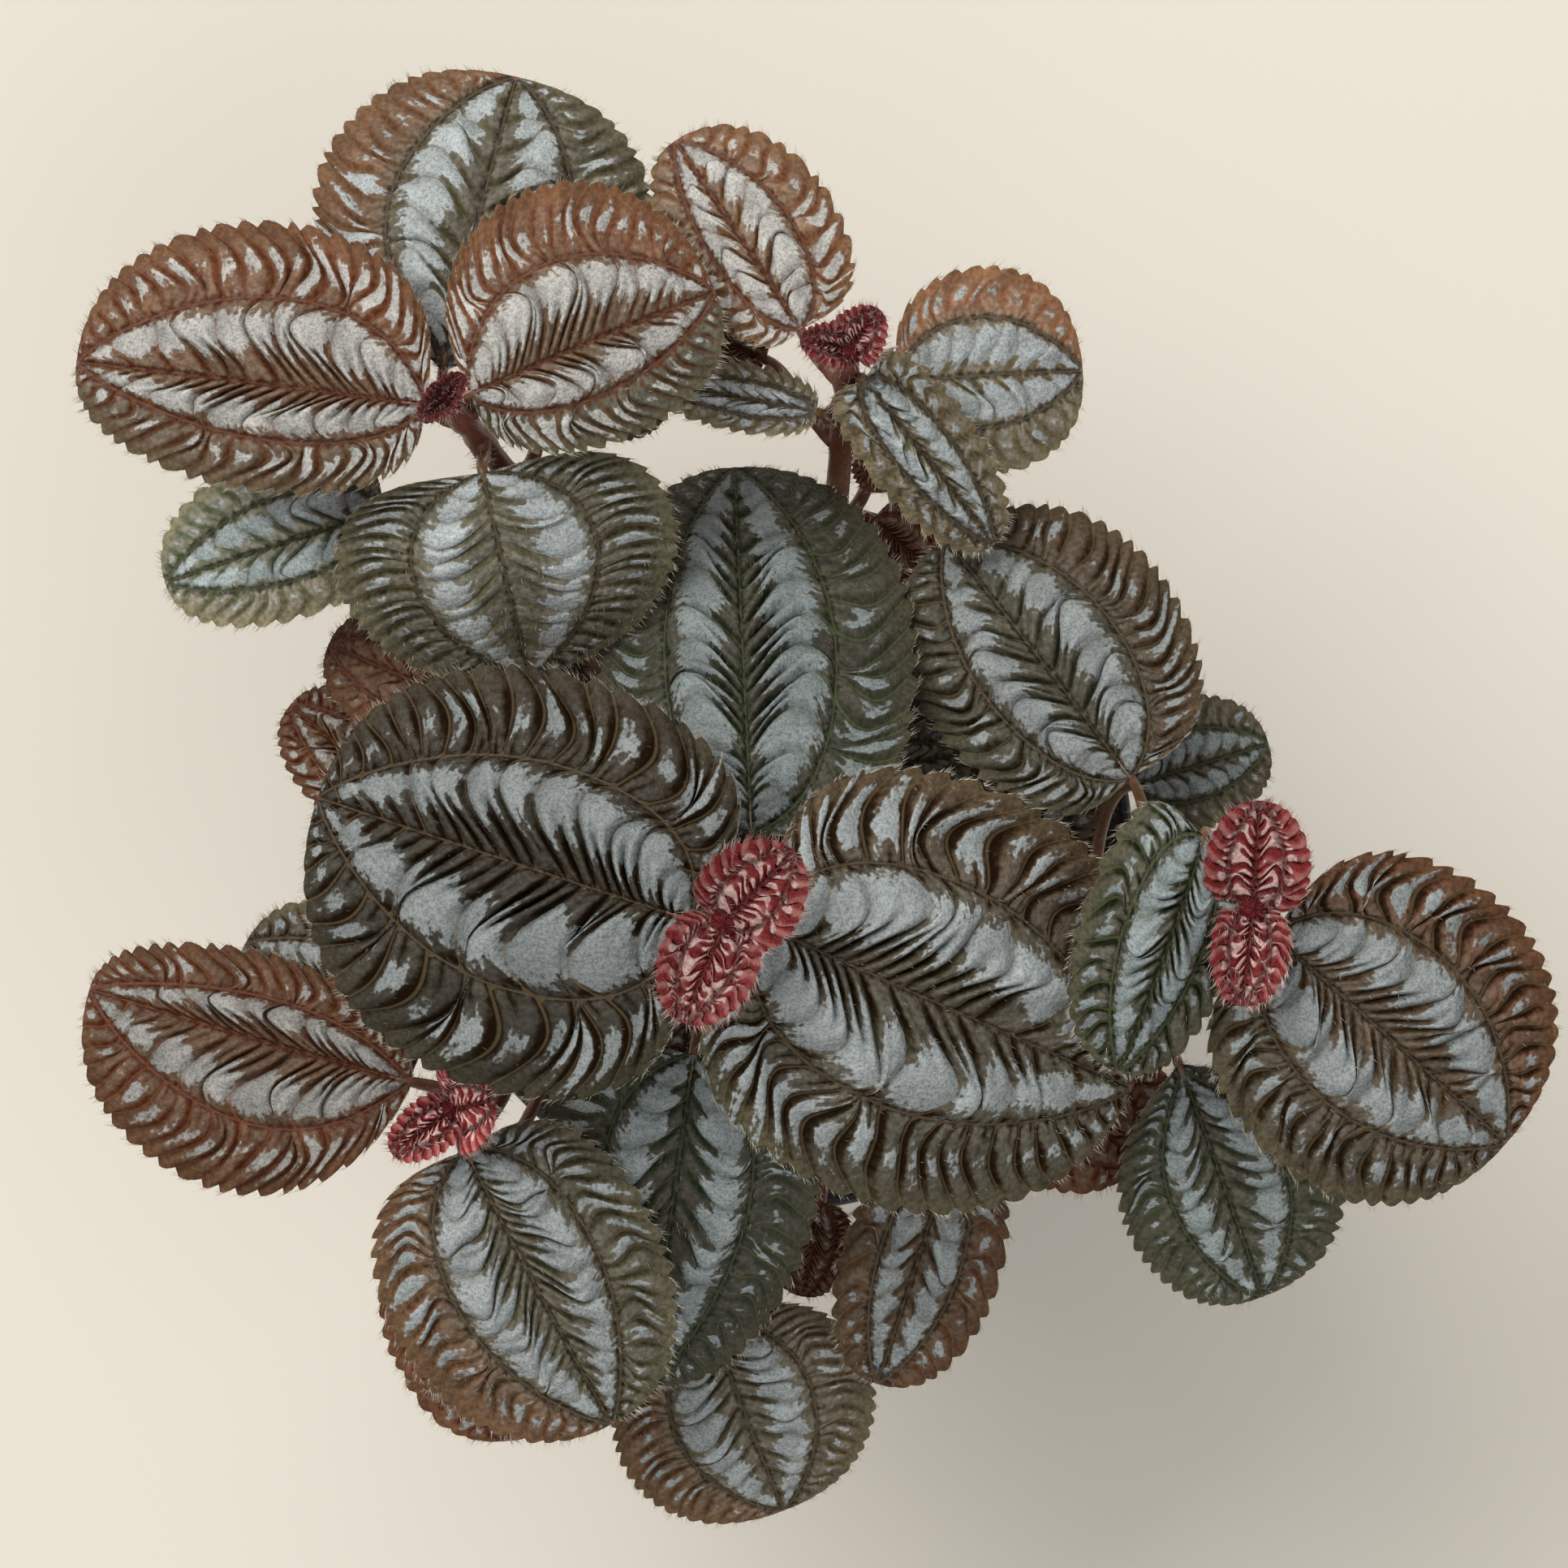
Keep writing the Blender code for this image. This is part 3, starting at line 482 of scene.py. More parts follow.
def make_piece(name, part, materials, nodes=(), sharp=RIM_ANGLE):
    """One mesh object from a part, at the origin, riding on the plant in place of its CAD nodes."""
    mesh = bpy.data.meshes.new(name)
    mesh.from_pydata((np.vstack(part.points) * MM).tolist(), [], part.faces)
    for made in materials:
        mesh.materials.append(made)
    mesh.polygons.foreach_set("material_index", np.array(part.marks, np.int32))
    for key in sorted({key for _, values in part.values for key in values}):
        kept = POINT_VALUES[key]
        layer = mesh.attributes.new(key, kept.kind, "POINT")
        layer.data.foreach_set(kept.field, part.value(key, kept.width).astype(np.float32).ravel())
    mesh.shade_smooth()
    mesh.set_sharp_from_angle(angle=math.radians(sharp))
    made = bpy.data.objects.new(name, mesh)
    bpy.context.scene.collection.objects.link(made)
    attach(made, "root")
    if nodes:
        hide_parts(*nodes)
    return made


def tube(line, radii, sides):
    """Rings of points round a line, closed at both ends by a fan, and its faces."""
    along = units(np.gradient(line, axis=0))
    first = unit(np.cross(along[0], (0.3, 0.9, 0.1)))
    turn = np.linspace(0, 2 * math.pi, sides, endpoint=False)[:, None]
    rings = []
    for place, way, radius in zip(line, along, radii):
        first = unit(first - way * (first @ way))
        rings.append(place + radius * (np.cos(turn) * first + np.sin(turn) * np.cross(way, first)))
    return np.vstack([*rings, line[:1], line[-1:]]), ring_faces(len(line), sides)


def cones(roots, ways, lengths):
    """Hairs: three-sided cones, each a closed body of four triangles, from their roots along their ways."""
    ways = units(ways)
    first = units(np.cross(ways, (0.37, 0.71, 0.6)))
    second = np.cross(ways, first)
    turn = (np.arange(3) * 2 * math.pi / 3)[:, None]
    ring = (np.cos(turn) * first[:, None, :] + np.sin(turn) * second[:, None, :]) * HAIR_RADIUS
    base = roots[:, None, :] + ring
    tips = (roots + ways * lengths[:, None])[:, None, :]
    start = (np.arange(len(roots)) * 4)[:, None, None]
    faces = np.array([[0, 1, 3], [1, 2, 3], [2, 0, 3], [0, 2, 1]]) + start
    return np.concatenate([base, tips], axis=1).reshape(-1, 3), (faces.reshape(-1, 3),)


def stem_line(stem, count):
    """A stem's centre line: upright in the soil, then eased into the curve through its own points."""
    line = smooth_line(STEMS[stem], count)
    leave = np.clip((line[:, 2:] - STEM_STRAIGHT_TO) / STEM_EASE, 0, 1)
    line[:, :2] = line[0, :2] + (line[:, :2] - line[0, :2]) * leave
    return line


def stem_radius(z, stem):
    """A stem's radius at a height: it falls evenly from its foot to its tip."""
    low, high = STEMS[stem][0][2], STEMS[stem][-1][2]
    return STEM_FOOT_RADIUS + (STEM_TOP_RADIUS - STEM_FOOT_RADIUS) * (z - low) / (high - low)


def stem_point(stem, z):
    """The point of a stem's centre line at a height."""
    line = stem_line(stem, 9)
    return np.array([np.interp(z, line[:, 2], line[:, 0]), np.interp(z, line[:, 2], line[:, 1]), z])


# Where a blade lies: its base, the ways along, across to the level left and up, and its length.
Chord = namedtuple("Chord", "base along across up length")


def chord_of(leaf):
    """The blade's own axes, square to each other, from its base and tip."""
    base = np.array(leaf.base, float)
    chord = np.array(leaf.tip, float) - base
    along = unit(chord)
    across = unit(np.cross((0, 0, 1.0), along))
    return Chord(base, along, across, np.cross(along, across), np.linalg.norm(chord))


def half_width(leaf, a):
    """The half width of the side of the blade that a is on."""
    return np.where(a > 0, leaf.sides[0], leaf.sides[1])


def halves(side):
    """How far a point is from midrib to side vein, and from there to the margin, each from 0 to 1."""
    return np.clip(side / SIDE_VEIN, 0, 1), np.clip((side - SIDE_VEIN) / (1 - SIDE_VEIN), 0, 1)


def blade_outline(leaf, length, t, a):
    """A bare blade in its own axes, where t is the place along its outline: along, across, height, width.

    The margin is half a turn, bent to the front by the sweep of the veins, with round lobes behind the
    base. The height is the arch of the midrib less the drop of each margin.
    """
    turn = np.pi * (t + VEIN_SWEEP * np.sin(np.pi * t))
    lobe = max(leaf.lobe, 0) * np.sin(turn) * np.clip(np.cos(turn), 0, None)
    draw_in = BASE_DRAW * max(-leaf.lobe, 0) * (1 - t) ** 2
    edge_along = (1 - np.cos(turn)) / 2 - lobe
    edge_across = np.clip(np.sin(turn), 0, None) ** (ROUNDNESS + draw_in) * (1 + leaf.ovate * np.cos(turn))
    side = np.abs(a)
    along = length * (t + (edge_along - t) * side**ROW_BEND)
    drop = np.where(a > 0, leaf.drops[0], leaf.drops[1])
    share = np.clip(along / length, 0, 1)
    height = 4 * leaf.arch * share * (1 - share) - drop * (edge_across * side) ** 2
    return along, half_width(leaf, a) * edge_across * side, height, edge_across


def puff(phase, lean=RIB_LEAN, fullness=RIB_FULLNESS):
    """The round back of a rib: 0 at both furrows, 1 on the crest, which leans towards the leaf's base."""
    return np.sin(np.pi * (phase % 1) ** lean) ** fullness


def lit(phase, flank):
    """Painted light and shade across a rib's back, partly the furrows' own pigment: shaded on its flank
    to the base, and a little dark at its far foot.
    """
    share = phase % 1
    return smooth_step(share, FLANK_START, flank) * (1 - FAR_FOOT_DARK * smooth_step(share, *FAR_FOOT))


def rib_backs(phase, split, fork_back, flank):
    """How high the ribs' backs are and their painted light and shade, where split says how far each is
    forked in two.
    """
    back = puff(phase) * (1 - split) + puff(2 * phase, *fork_back) * split
    return back, lit(phase, flank) * (1 - split) + lit(2 * phase, flank) * split


def waves(x, y, size, seed):
    """Lumps: the sum of sixteen sine waves in random directions, about a size across, folded up by abs."""
    draw = np.random.default_rng(seed)
    turns, phases, scales = draw.uniform(0, 6.3, 16), draw.uniform(0, 6.3, 16), draw.uniform(0.7, 1.5, 16)
    total = np.zeros_like(x)
    for turn, phase, scale in zip(turns, phases, scales):
        wave = np.sin((x * np.cos(turn) + y * np.sin(turn)) * np.pi / (size * scale) + phase)
        total += np.abs(wave) - 0.64
    return total / 4


def knots_at(values, right, phase):
    """Random values given at whole numbers for each side of the blade, joined by straight lines."""
    low = phase.astype(int)
    return values[right, low] + (values[right, low + 1] - values[right, low]) * (phase - low)


def wander(k, side, right, draw):
    """A slow random wave over each half of the blade: half the sum of four sine waves that cross it."""
    total = np.zeros_like(k)
    for _ in range(4):
        along, across = draw.uniform(2, 7), draw.uniform(-2.5, 2.5)
        start = draw.uniform(0, 2 * np.pi, 2)
        total += np.sin(2 * np.pi * (along * k + across * side) + start[right]) / 2
    return total


def row_place(k, side, right, grid, jog, shift):
    """Where row k lies along the outline at each distance from the midrib.

    At the midrib the rows crowd towards the base. At the margin they are spaced evenly round it. In
    between a row runs forward to a kink, back to the side vein as the arms of a chevron do, and then
    out to the margin in a hook that is bent forward. The kink is half a sine, with its top KINK_AT of
    the way to the side vein, and differs from rib to rib. Each furrow is shifted a little at random,
    and wanders.
    """
    inner_place, outer_place = halves(side)
    inner_knots = knots_at(jog[0], right, k * grid.inner_ribs + 0.5 * right)
    outer_knots = knots_at(jog[1], right, k * grid.outer_ribs)
    fade = smooth_step(k, 0, 0.1) * (1 - smooth_step(k, 0.9, 1))
    middle = MIDRIB_EVEN * k + (1 - MIDRIB_EVEN) * k**2
    turned_by = k**RIM_LEAD
    rim = turned_by - VEIN_SWEEP * np.sin(np.pi * (turned_by - VEIN_SWEEP * np.sin(np.pi * turned_by)))
    lateral = middle + LATERAL_TURN * (rim - middle) + fade * (inner_knots * UNEVEN / grid.inner_ribs)
    rim = rim + fade * (outer_knots * UNEVEN / grid.outer_ribs)
    bent = np.sin(np.pi / 2 * inner_place)
    spread = smooth_step(k, *KINK_GROWS) * (1 - smooth_step(k, *KINK_FADES))
    kink = KINK * np.sin(np.pi * inner_place ** (math.log(0.5) / math.log(KINK_AT))).clip(0) ** 0.8
    kink = kink * (1 + KINK_UNEVEN * inner_knots)
    hook = HOOK * np.sin(np.pi * outer_place) * (outer_place > 0)
    loose = shift * fade * np.sin(np.pi * side) * WANDER / grid.inner_ribs + spread * (kink - hook)
    return middle * (1 - bent) + bent * (lateral + (rim - lateral) * outer_place**FAN_OUT) + loose


def blade_surface(leaf, grid, seed, k, a):
    """The quilted upper face in the plant's frame, and what its colour needs, for rows k and columns a.

    The furrows between ribs are rows. The ribs rise as a sine from the midrib to the side vein and as a
    round shoulder from there to the margin, where each ends in a round tooth that points forward. They
    are lower on a short leaf, and where the leaf's coat gives weaker furrows. Small lumps cover them,
    and the midrib and the side veins lie in narrow grooves. A crest is painted light and shade, partly the
    furrows' own dark pigment: 1 on a rib's lit back and 0 in the painted shade of a furrow, and lower in the
    painted shade of the pits between the lumps.
    """
    draw = np.random.default_rng(seed)
    each_rib = 2, 2, grid.outer_ribs + 2
    gain = draw.uniform(*RIB_GAIN, each_rib)
    jog = draw.uniform(-1, 1, each_rib)
    forked = draw.uniform(0.2, 1.5, each_rib).clip(0, 1)
    right = (a < 0).astype(int)
    side = np.abs(a)
    inside = side < SIDE_VEIN
    inner_place, outer_place = halves(side)
    chord = chord_of(leaf)
    relief = np.clip(chord.length / FULL_RELIEF_LENGTH, LEAST_RELIEF, 1)
    coat = COATS.get(leaf.name, Coat())
    shift = wander(k, side, right, draw)
    place = row_place(k, side, right, grid, jog, shift)
    x, y, z, width = blade_outline(leaf, chord.length, place, a)

    inner_phase, outer_phase = k * grid.inner_ribs + 0.5 * right, k * grid.outer_ribs
    inner_rib, outer_rib = inner_phase.astype(int), outer_phase.astype(int)
    split = (1 - smooth_step(inner_place, *INNER_FORK)) * forked[0][right, inner_rib]
    split = split * smooth_step(coat.inner, *FORKS_WITH_COAT)
    inner_crest, inner_lit = rib_backs(inner_phase, split, INNER_FORK_BACK, INNER_FLANK)
    split = (1 - smooth_step(outer_place, *OUTER_FORK)) * (forked[1][right, outer_rib] > OUTER_FORKED_OVER)
    outer_crest, outer_lit = rib_backs(outer_phase, split, OUTER_FORK_BACK, OUTER_FLANK)
    arc = np.sin(np.pi * inner_place**0.75) ** 0.65
    inner = INNER_PILLOW * arc * inner_crest * gain[0][right, inner_rib]
    inner = inner * (SMOOTH_INNER + (1 - SMOOTH_INNER) * coat.inner)
    shoulder = (1 - (1 - outer_place) ** 4) * (1 - 0.6 * outer_place**2)
    outer = OUTER_PILLOW * shoulder * outer_crest * gain[1][right, outer_rib]
    outer = outer * (SMOOTH_OUTER + (1 - SMOOTH_OUTER) * coat.outer)

    width_here = np.maximum(half_width(leaf, a) * width, 0.5)
    vein = np.minimum(side, np.abs(side - SIDE_VEIN)) * width_here
    groove = GROOVE_DEPTH * np.exp(-((vein / GROOVE_WIDTH) ** 2))
    from_midrib = side * half_width(leaf, a)
    crumple = waves(k * chord.length, from_midrib + 50 * right, PEBBLE_SIZE, seed)
    z = z + relief * (width * (inner + outer + PEBBLE * crumple * np.sin(np.pi * side) ** 0.5) - groove)
    round_tooth = np.sqrt(1 - (2 * (outer_phase % 1) ** 2 - 1) ** 2)
    tooth = TOOTH_DEPTH * relief * (TOOTH_FOOT + (1 - TOOTH_FOOT) * round_tooth)
    tooth = tooth * np.minimum(2 * width, 1) * side**TOOTH_START
    y = (y + tooth) * np.sign(a)
    places = chord.base + x[..., None] * chord.along + y[..., None] * chord.across + z[..., None] * chord.up

    in_band = smooth_step(inner_place, *BAND_OPENS) * (1 - smooth_step(inner_place, *BAND_CLOSES))
    inner_shown = 1 - (1 - inner_lit) * (1 - BAND_EVEN * in_band)
    outer_shown = 1 - (1 - outer_lit) * (1 - RIM_EVEN * smooth_step(outer_place, *RIM_OPENS))
    crest = np.where(inside, inner_shown, outer_shown) * (1 - PIT_SHADE * smooth_step(-crumple, *PIT))
    share = np.where(inside, inner_phase, outer_phase) % 1
    pitch = chord.length / np.where(inside, grid.inner_ribs, grid.outer_ribs)
    return {
        "places": places, "k": k, "side": side, "right": right, "width": width, "vein": vein,
        "crest": crest, "inner_rib": inner_rib, "outer_rib": outer_rib, "jog": jog, "mottle": shift,
        "line": np.minimum(vein, np.minimum(share, 1 - share) * pitch + 0.05),
        "back": np.where(inside, inner_crest, outer_crest), "inner_share": inner_phase % 1,
        "inner_lit": inner_lit, "outer_lit": outer_lit,
        "grain": np.stack([k * chord.length, from_midrib, np.full_like(x, seed * 7.0) + 40 * right], -1),
    }


def silver_field(face, coat):
    """Where the blade is silver: above 0.5 in a band beside the midrib and in a dash on each outer rib.

    The band's edges step from rib to rib: on each it reaches further towards the midrib and the side
    vein on the far side of the back than on the flank, and runs out in feathers along the backs. It
    starts further from the midrib where the coat has strong furrows or is bare. The dashes are longer
    towards the leaf's base.
    """
    k, side, right, jog = face["k"], face["side"], face["right"], face["jog"]
    step = jog[0][right, face["inner_rib"]]
    flank = 1 - face["inner_share"]
    start = BAND_START + (BAND_BARE * smooth_step(k, 0.05, 0.5) + BAND_STEP * step) * (2 - coat.silver)
    start = start + (FLANK_BARE + FURROWED_BARE * coat.inner) * flank + coat.bare
    end = BAND_END + END_STEP * jog[0][right, face["inner_rib"] + 1] - END_FLANK * flank
    near = 1 - smooth_step(side, start, start + BAND_FEATHER)
    ridge = (face["inner_lit"] - 0.6) * near * (0.55 + 0.45 * step)
    band = 0.5 + BAND_SLOPE * np.minimum(side - start, end - side) + RIDGE_FEATHER * ridge
    band = band - 0.5 * smooth_step(k, 0.93, 0.99) - 0.3 * (1 - smooth_step(k, 0, 0.03))
    band = np.minimum(band, BAND_FULL) - 0.5 * max(1 - coat.silver, 0)
    presence = coat.dashes * (1 - 0.8 * smooth_step(k, *DASH_FADES))
    presence = presence + DASH_CHANCE * jog[1][right, face["outer_rib"]]
    middle = DASH_AT + DASH_STEP * jog[1][right, face["outer_rib"] + 1]
    dash = 0.5 + DASH_SLOPE * (DASH_HALF * presence - np.abs(side - middle))
    dash = dash + DASH_FEATHER * (face["outer_lit"] - 0.95)
    return np.clip(np.where(side < SIDE_VEIN, band, dash), 0, 1)


def tissue_colour(face, coat):
    """The blade's colour under the silver, and how bright the silver is there as its alpha: painted shade in
    the furrows and painted light on the backs.

    The ribs' backs are grey, partly their own tone and partly a painted sheen, and their flanks olive, green
    or rust. The rim is a little lighter, partly its own tint and partly painted light through the thin
    margin.
    """
    side, right = face["side"], face["right"]
    margin = np.where(right == 1, coat.right, coat.left) * smooth_step(side, *MARGIN_TINT)
    rust = np.clip(coat.rust + margin, 0, 1)
    # Grey on the ribs' lit backs: partly their own tone and partly a painted sheen.
    grey = (1 - coat.green * GREEN_KEEPS) * (1 - smooth_step(side, *RIM_LOSES_GREY_SHEEN))
    grey = grey * smooth_step(face["crest"], *GREY_SHEEN_ON_BACK)
    colour = blend(blend(OLIVE, GREEN, np.full_like(side, coat.green)), MAUVE_SHEEN, GREY_SHEEN_ON_OLIVE * grey)
    rusty = blend(RUST, RUST_GREY_SHEEN, GREY_SHEEN_ON_RUST * grey)
    colour = colour * (1 - rust[..., None]) + rusty * rust[..., None]
    # A lighter rim: partly its own tint and partly painted light through the thin margin.
    rim = blend(RIM_OLIVE, RIM_RUST, rust)
    edge = RIM_TINTED * smooth_step(side, *RIM_TINT)[..., None]
    uneven = 1 + MOTTLE * face["mottle"][..., None]
    # The silver's brightness: darker in the furrows and brighter on the backs, as painted shade and light.
    shine = coat.shine * uneven * (SILVER_SHADE_IN_FURROW + SILVER_LIGHT_ON_BACK * face["back"][..., None])
    # The tone lifts leaves that lie in shade: painted light on top of each leaf's own lightness.
    return np.concatenate([(colour * (1 - edge) + rim * edge) * coat.tone * uneven, shine], -1)


def young_colour(face, coat):
    """Crimson, darker towards the tip's heart, rosier on the ribs' backs, and evenly shiny."""
    colour = blend(CRIMSON * 0.5, CRIMSON, smooth_step(face["k"], 0.0, 0.5))
    colour = blend(colour, ROSE, 0.7 * smooth_step(face["back"], 0.55, 1.0))
    # The tone lifts tips that lie in shade: painted light on top of their own crimson.
    shine = np.full((*colour.shape[:-1], 1), coat.shine * coat.tone)
    return np.concatenate([colour * coat.tone, shine], -1)


def young_silver(face, coat):
    """Silver only on the backs of the ribs, as long raised blisters that fade out towards the margin."""
    inside = smooth_step(face["side"], 0.05, 0.15) * (1 - smooth_step(face["side"], 0.6, 1))
    blister = inside * smooth_step(face["back"], 0.5, 1) + 0.2 * face["mottle"]
    return np.clip(0.76 * blister * coat.silver, 0, 1)


def with_alpha(colour):
    """Colours with a 1 after each, as its alpha."""
    return np.concatenate([colour, np.ones((*colour.shape[:-1], 1))], -1)


def blade_columns(grid):
    """The grid's columns from the right margin over the midrib, 0, to the left one."""
    inner = np.linspace(0, SIDE_VEIN, grid.inner_columns + 1)[1:]
    outer = np.linspace(SIDE_VEIN, 1, grid.outer_columns + 1)[1:]
    half = np.concatenate([inner, outer])
    return np.concatenate([-half[::-1], [0], half])


def under_face(face, below, step, up):
    """The blade's under face: below the upper one by a thickness that falls to a thin edge at the margin.

    It hangs from the lowest of each five neighbouring rows, so that no furrow cuts through it, and
    keeps every few columns. The midrib and the side veins stand out under it as round ridges.
    """
    side = np.abs(below)
    ridge = UNDER_RIB * np.exp(-((side / UNDER_RIB_WIDTH) ** 2))
    ridge = ridge + 0.5 * UNDER_RIB * np.exp(-(((side - SIDE_VEIN) / UNDER_RIB_WIDTH) ** 2))
    thick = (RIM_THICKNESS + (BLADE_THICKNESS - RIM_THICKNESS) * (1 - side**4)) * (side < 0.999) + ridge
    depth = thick[None, :] * np.clip(face["width"][:, ::step] * 1.5, 0.15, 1)
    height = face["places"] @ up
    padded = np.pad(height, ((2, 2), (0, 0)), "edge")
    lowest = np.min([padded[row:row + len(height)] for row in range(5)], axis=0)
    depth = depth + (height - lowest)[:, ::step]
    return face["places"][:, ::step] - depth[..., None] * up


def sheet_faces(sheet, first, last):
    """Quads between a grid of point numbers, and fans from its first and last rows to one point each."""
    quads = np.stack([sheet[:-1, :-1], sheet[1:, :-1], sheet[1:, 1:], sheet[:-1, 1:]], -1).reshape(-1, 4)
    near = np.stack([sheet[0, :-1], sheet[0, 1:], np.full(sheet.shape[1] - 1, first)], -1)
    far = np.stack([sheet[-1, 1:], sheet[-1, :-1], np.full(sheet.shape[1] - 1, last)], -1)
    return quads, near, far


def add_blade(part, leaf, grid, seed, coat, colour_of, silver_of, under_colour):
    """A closed blade: the quilted upper face and a plainer under face, which meet round the margin."""
    columns = blade_columns(grid)
    k, a = np.meshgrid(np.linspace(0, 1, grid.rows + 1)[1:-1], columns, indexing="ij")
    face = blade_surface(leaf, grid, seed, k, a)
    chord = chord_of(leaf)
    inside = under_face(face, columns[::grid.under_step], grid.under_step, chord.up)[:, 1:-1]
    tip = np.array(leaf.tip, float)
    points = np.vstack([face["places"].reshape(-1, 3), inside.reshape(-1, 3), chord.base, tip])
    top = np.arange(k.size).reshape(k.shape)
    hidden = inside.shape[0] * inside.shape[1]
    low = k.size + np.arange(hidden).reshape(inside.shape[:2])
    low = np.hstack([top[:, :1], low, top[:, -1:]])
    ends = len(points) - 2, len(points) - 1
    faces = [*sheet_faces(top, *ends), *(group[:, ::-1] for group in sheet_faces(low, *ends))]

    # How dark the furrows are: partly their own pigment and partly painted shade, as strong as the coat says.
    strength = np.where(face["side"] < SIDE_VEIN, coat.inner, coat.outer)
    painted = 1 - strength * (1 - face["crest"])
    rest = hidden + 2
    plain = np.broadcast_to(under_colour, (rest, 3))
    part.add(
        points, faces,
        tissue=np.vstack([colour_of(face, coat).reshape(-1, 4), with_alpha(plain)]),
        silver=np.concatenate([silver_of(face, coat).ravel(), np.zeros(rest)]),
        crest=np.concatenate([painted.ravel(), np.full(rest, 0.5)]),
        vein=np.concatenate([face["vein"].ravel(), np.full(rest, FAR)]),
        line=np.concatenate([face["line"].ravel(), np.full(rest, FAR)]),
        grain=np.vstack([face["grain"].reshape(-1, 3), np.zeros((rest, 3))]),
    )


def petiole_line(leaf):
    """From inside the stem's side, out and up to the blade, then a little way under it along the midrib.

    The free part is a Bezier curve that leaves the stem squarely and arrives along the blade's slope.
    """
    stem = leaf.name[0]
    joint = stem_point(stem, leaf.joint)
    chord = chord_of(leaf)
    way = unit(stem_point(stem, leaf.joint + 1) - stem_point(stem, leaf.joint - 1))
    side = unit((chord.base - joint) - way * ((chord.base - joint) @ way))
    start = joint + side * (stem_radius(leaf.joint, stem) + PETIOLE_RADIUS * 0.7 + JOINT_GAP)
    outward = unit(side + PETIOLE_RISE * way)
    slope = unit(chord.along + chord.up * 4 * leaf.arch / chord.length)
    neck = chord.base - chord.up * PETIOLE_DEPTH
    reach = np.linalg.norm(neck - start) / 3
    arrival = unit(slope + (0, 0, PETIOLE_LIFT))
    controls = start, start + outward * reach, neck - arrival * reach, neck
    steps = np.linspace(0, 1, PETIOLE_STEPS)[:, None]
    bend = sum(math.comb(3, i) * steps**i * (1 - steps) ** (3 - i) * controls[i] for i in range(4))
    inside = start - side * PETIOLE_ROOT
    return np.vstack([inside, bend, neck + slope * chord.length * PETIOLE_BITE])


def add_stalk(part, line, radii, colours, sides, hairs, draw):
    """A fleshy stalk along a line; it gives the roots and ways of short hairs that stand out from it."""
    points, faces = tube(line, radii, sides)
    colour = np.vstack([np.repeat(colours, sides, axis=0), colours[:1], colours[-1:]])
    part.add(points, faces, mark=STALK, tissue=with_alpha(colour))
    which = draw.integers(0, len(line) - 1, hairs)
    share = draw.uniform(0, 1, (hairs, 1))
    spot = draw.integers(0, sides, hairs)
    rings = points[:len(line) * sides].reshape(len(line), sides, 3)
    roots = rings[which, spot] * (1 - share) + rings[which + 1, spot] * share
    middle = line[which] * (1 - share) + line[which + 1] * share
    return roots, roots - middle + draw.normal(0, 0.25, (hairs, 3))


def blade_hairs(leaf, grid, seed, margin, surface, draw):
    """Roots and ways of a blade's hairs: a fringe round its margin and some on its upper face."""
    k = draw.uniform(0.01, 0.99, margin)
    a = draw.choice([-1.0, 1.0], margin)
    rim = blade_surface(leaf, grid, seed, k, a)["places"]
    within = blade_surface(leaf, grid, seed, k, a * 0.94)["places"]
    chord = chord_of(leaf)
    outward = units(rim - within) + chord.along * 0.5 + draw.normal(0, 0.25, (margin, 3))
    k = draw.uniform(0.03, 0.97, surface)
    a = draw.uniform(-0.98, 0.98, surface)
    skin = blade_surface(leaf, grid, seed, k, a)["places"]
    upward = chord.up + chord.along * 0.9 + draw.normal(0, 0.35, (surface, 3))
    return np.vstack([rim, skin]), units(np.vstack([outward, upward]))


SMOOTH = {"interpolation_type": "SMOOTHSTEP"}
COLOURS = {"data_type": "RGBA"}
MULTIPLY_ADD = {"operation": "MULTIPLY_ADD"}
SCALE = {"operation": "SCALE"}

# The leaf skin's grain in millimetres: crumbs of blisters, and cells, which are drawn coarser than the
# real ones so that they show. FRAY and CRUMBLE say how far the two noises push the silver's edge.
CRUMB_SIZE = 0.9
CELL_SIZE = 0.4
FRAY = 0.75
CRUMBLE = 0.35

# The leaf skin's ramps: where each starts and ends on the value that it reads, and what it gives there
# if that isn't 0 and 1. Crests are painted light and shade, partly the furrows' own dark pigment, and run
# from 0 in a furrow to 1 on a back, and veins and lines are millimetres away.
SILVER_EDGE = -0.06, 0.07
FURROW_PIGMENT_AND_SHADE = 0.85, 0.3
SILVER_SHADE_IN_CREASES = 0.75, 0.2, 0.0, 0.55
TISSUE_FLECK = 0.35, 0.65, 0.8, 1.22
SILVER_SPECKLE = 0.45, 1.0
VEIN_PIGMENT_AND_SHADE = 1.5, 0.7, 0.0, 0.8
VEIN_THREAD = 0.2, 0.09, 0.0, 0.4
SATIN = 0.3, 0.7, 0.44, 0.58
WAX = 0.4, 0.95, 0.02, 0.13

# The leaf skins' tones: silver on the blisters and between them, the furrows, dark with their own pigment
# and with painted shade, and the fine line of a vein.
SKIN_TONES = {
    "green": ("#A6B0B0", "#7C8686", "#10150A", "#5C6440"),
    "brown": ("#AAB0B0", "#828888", "#1A0F06", "#6E6048"),
    "rust": ("#B4B2AE", "#8A8782", "#3E1808", "#805640"),
    "young": ("#C2A6A0", "#A07C78", "#200202", "#803A38"),
}


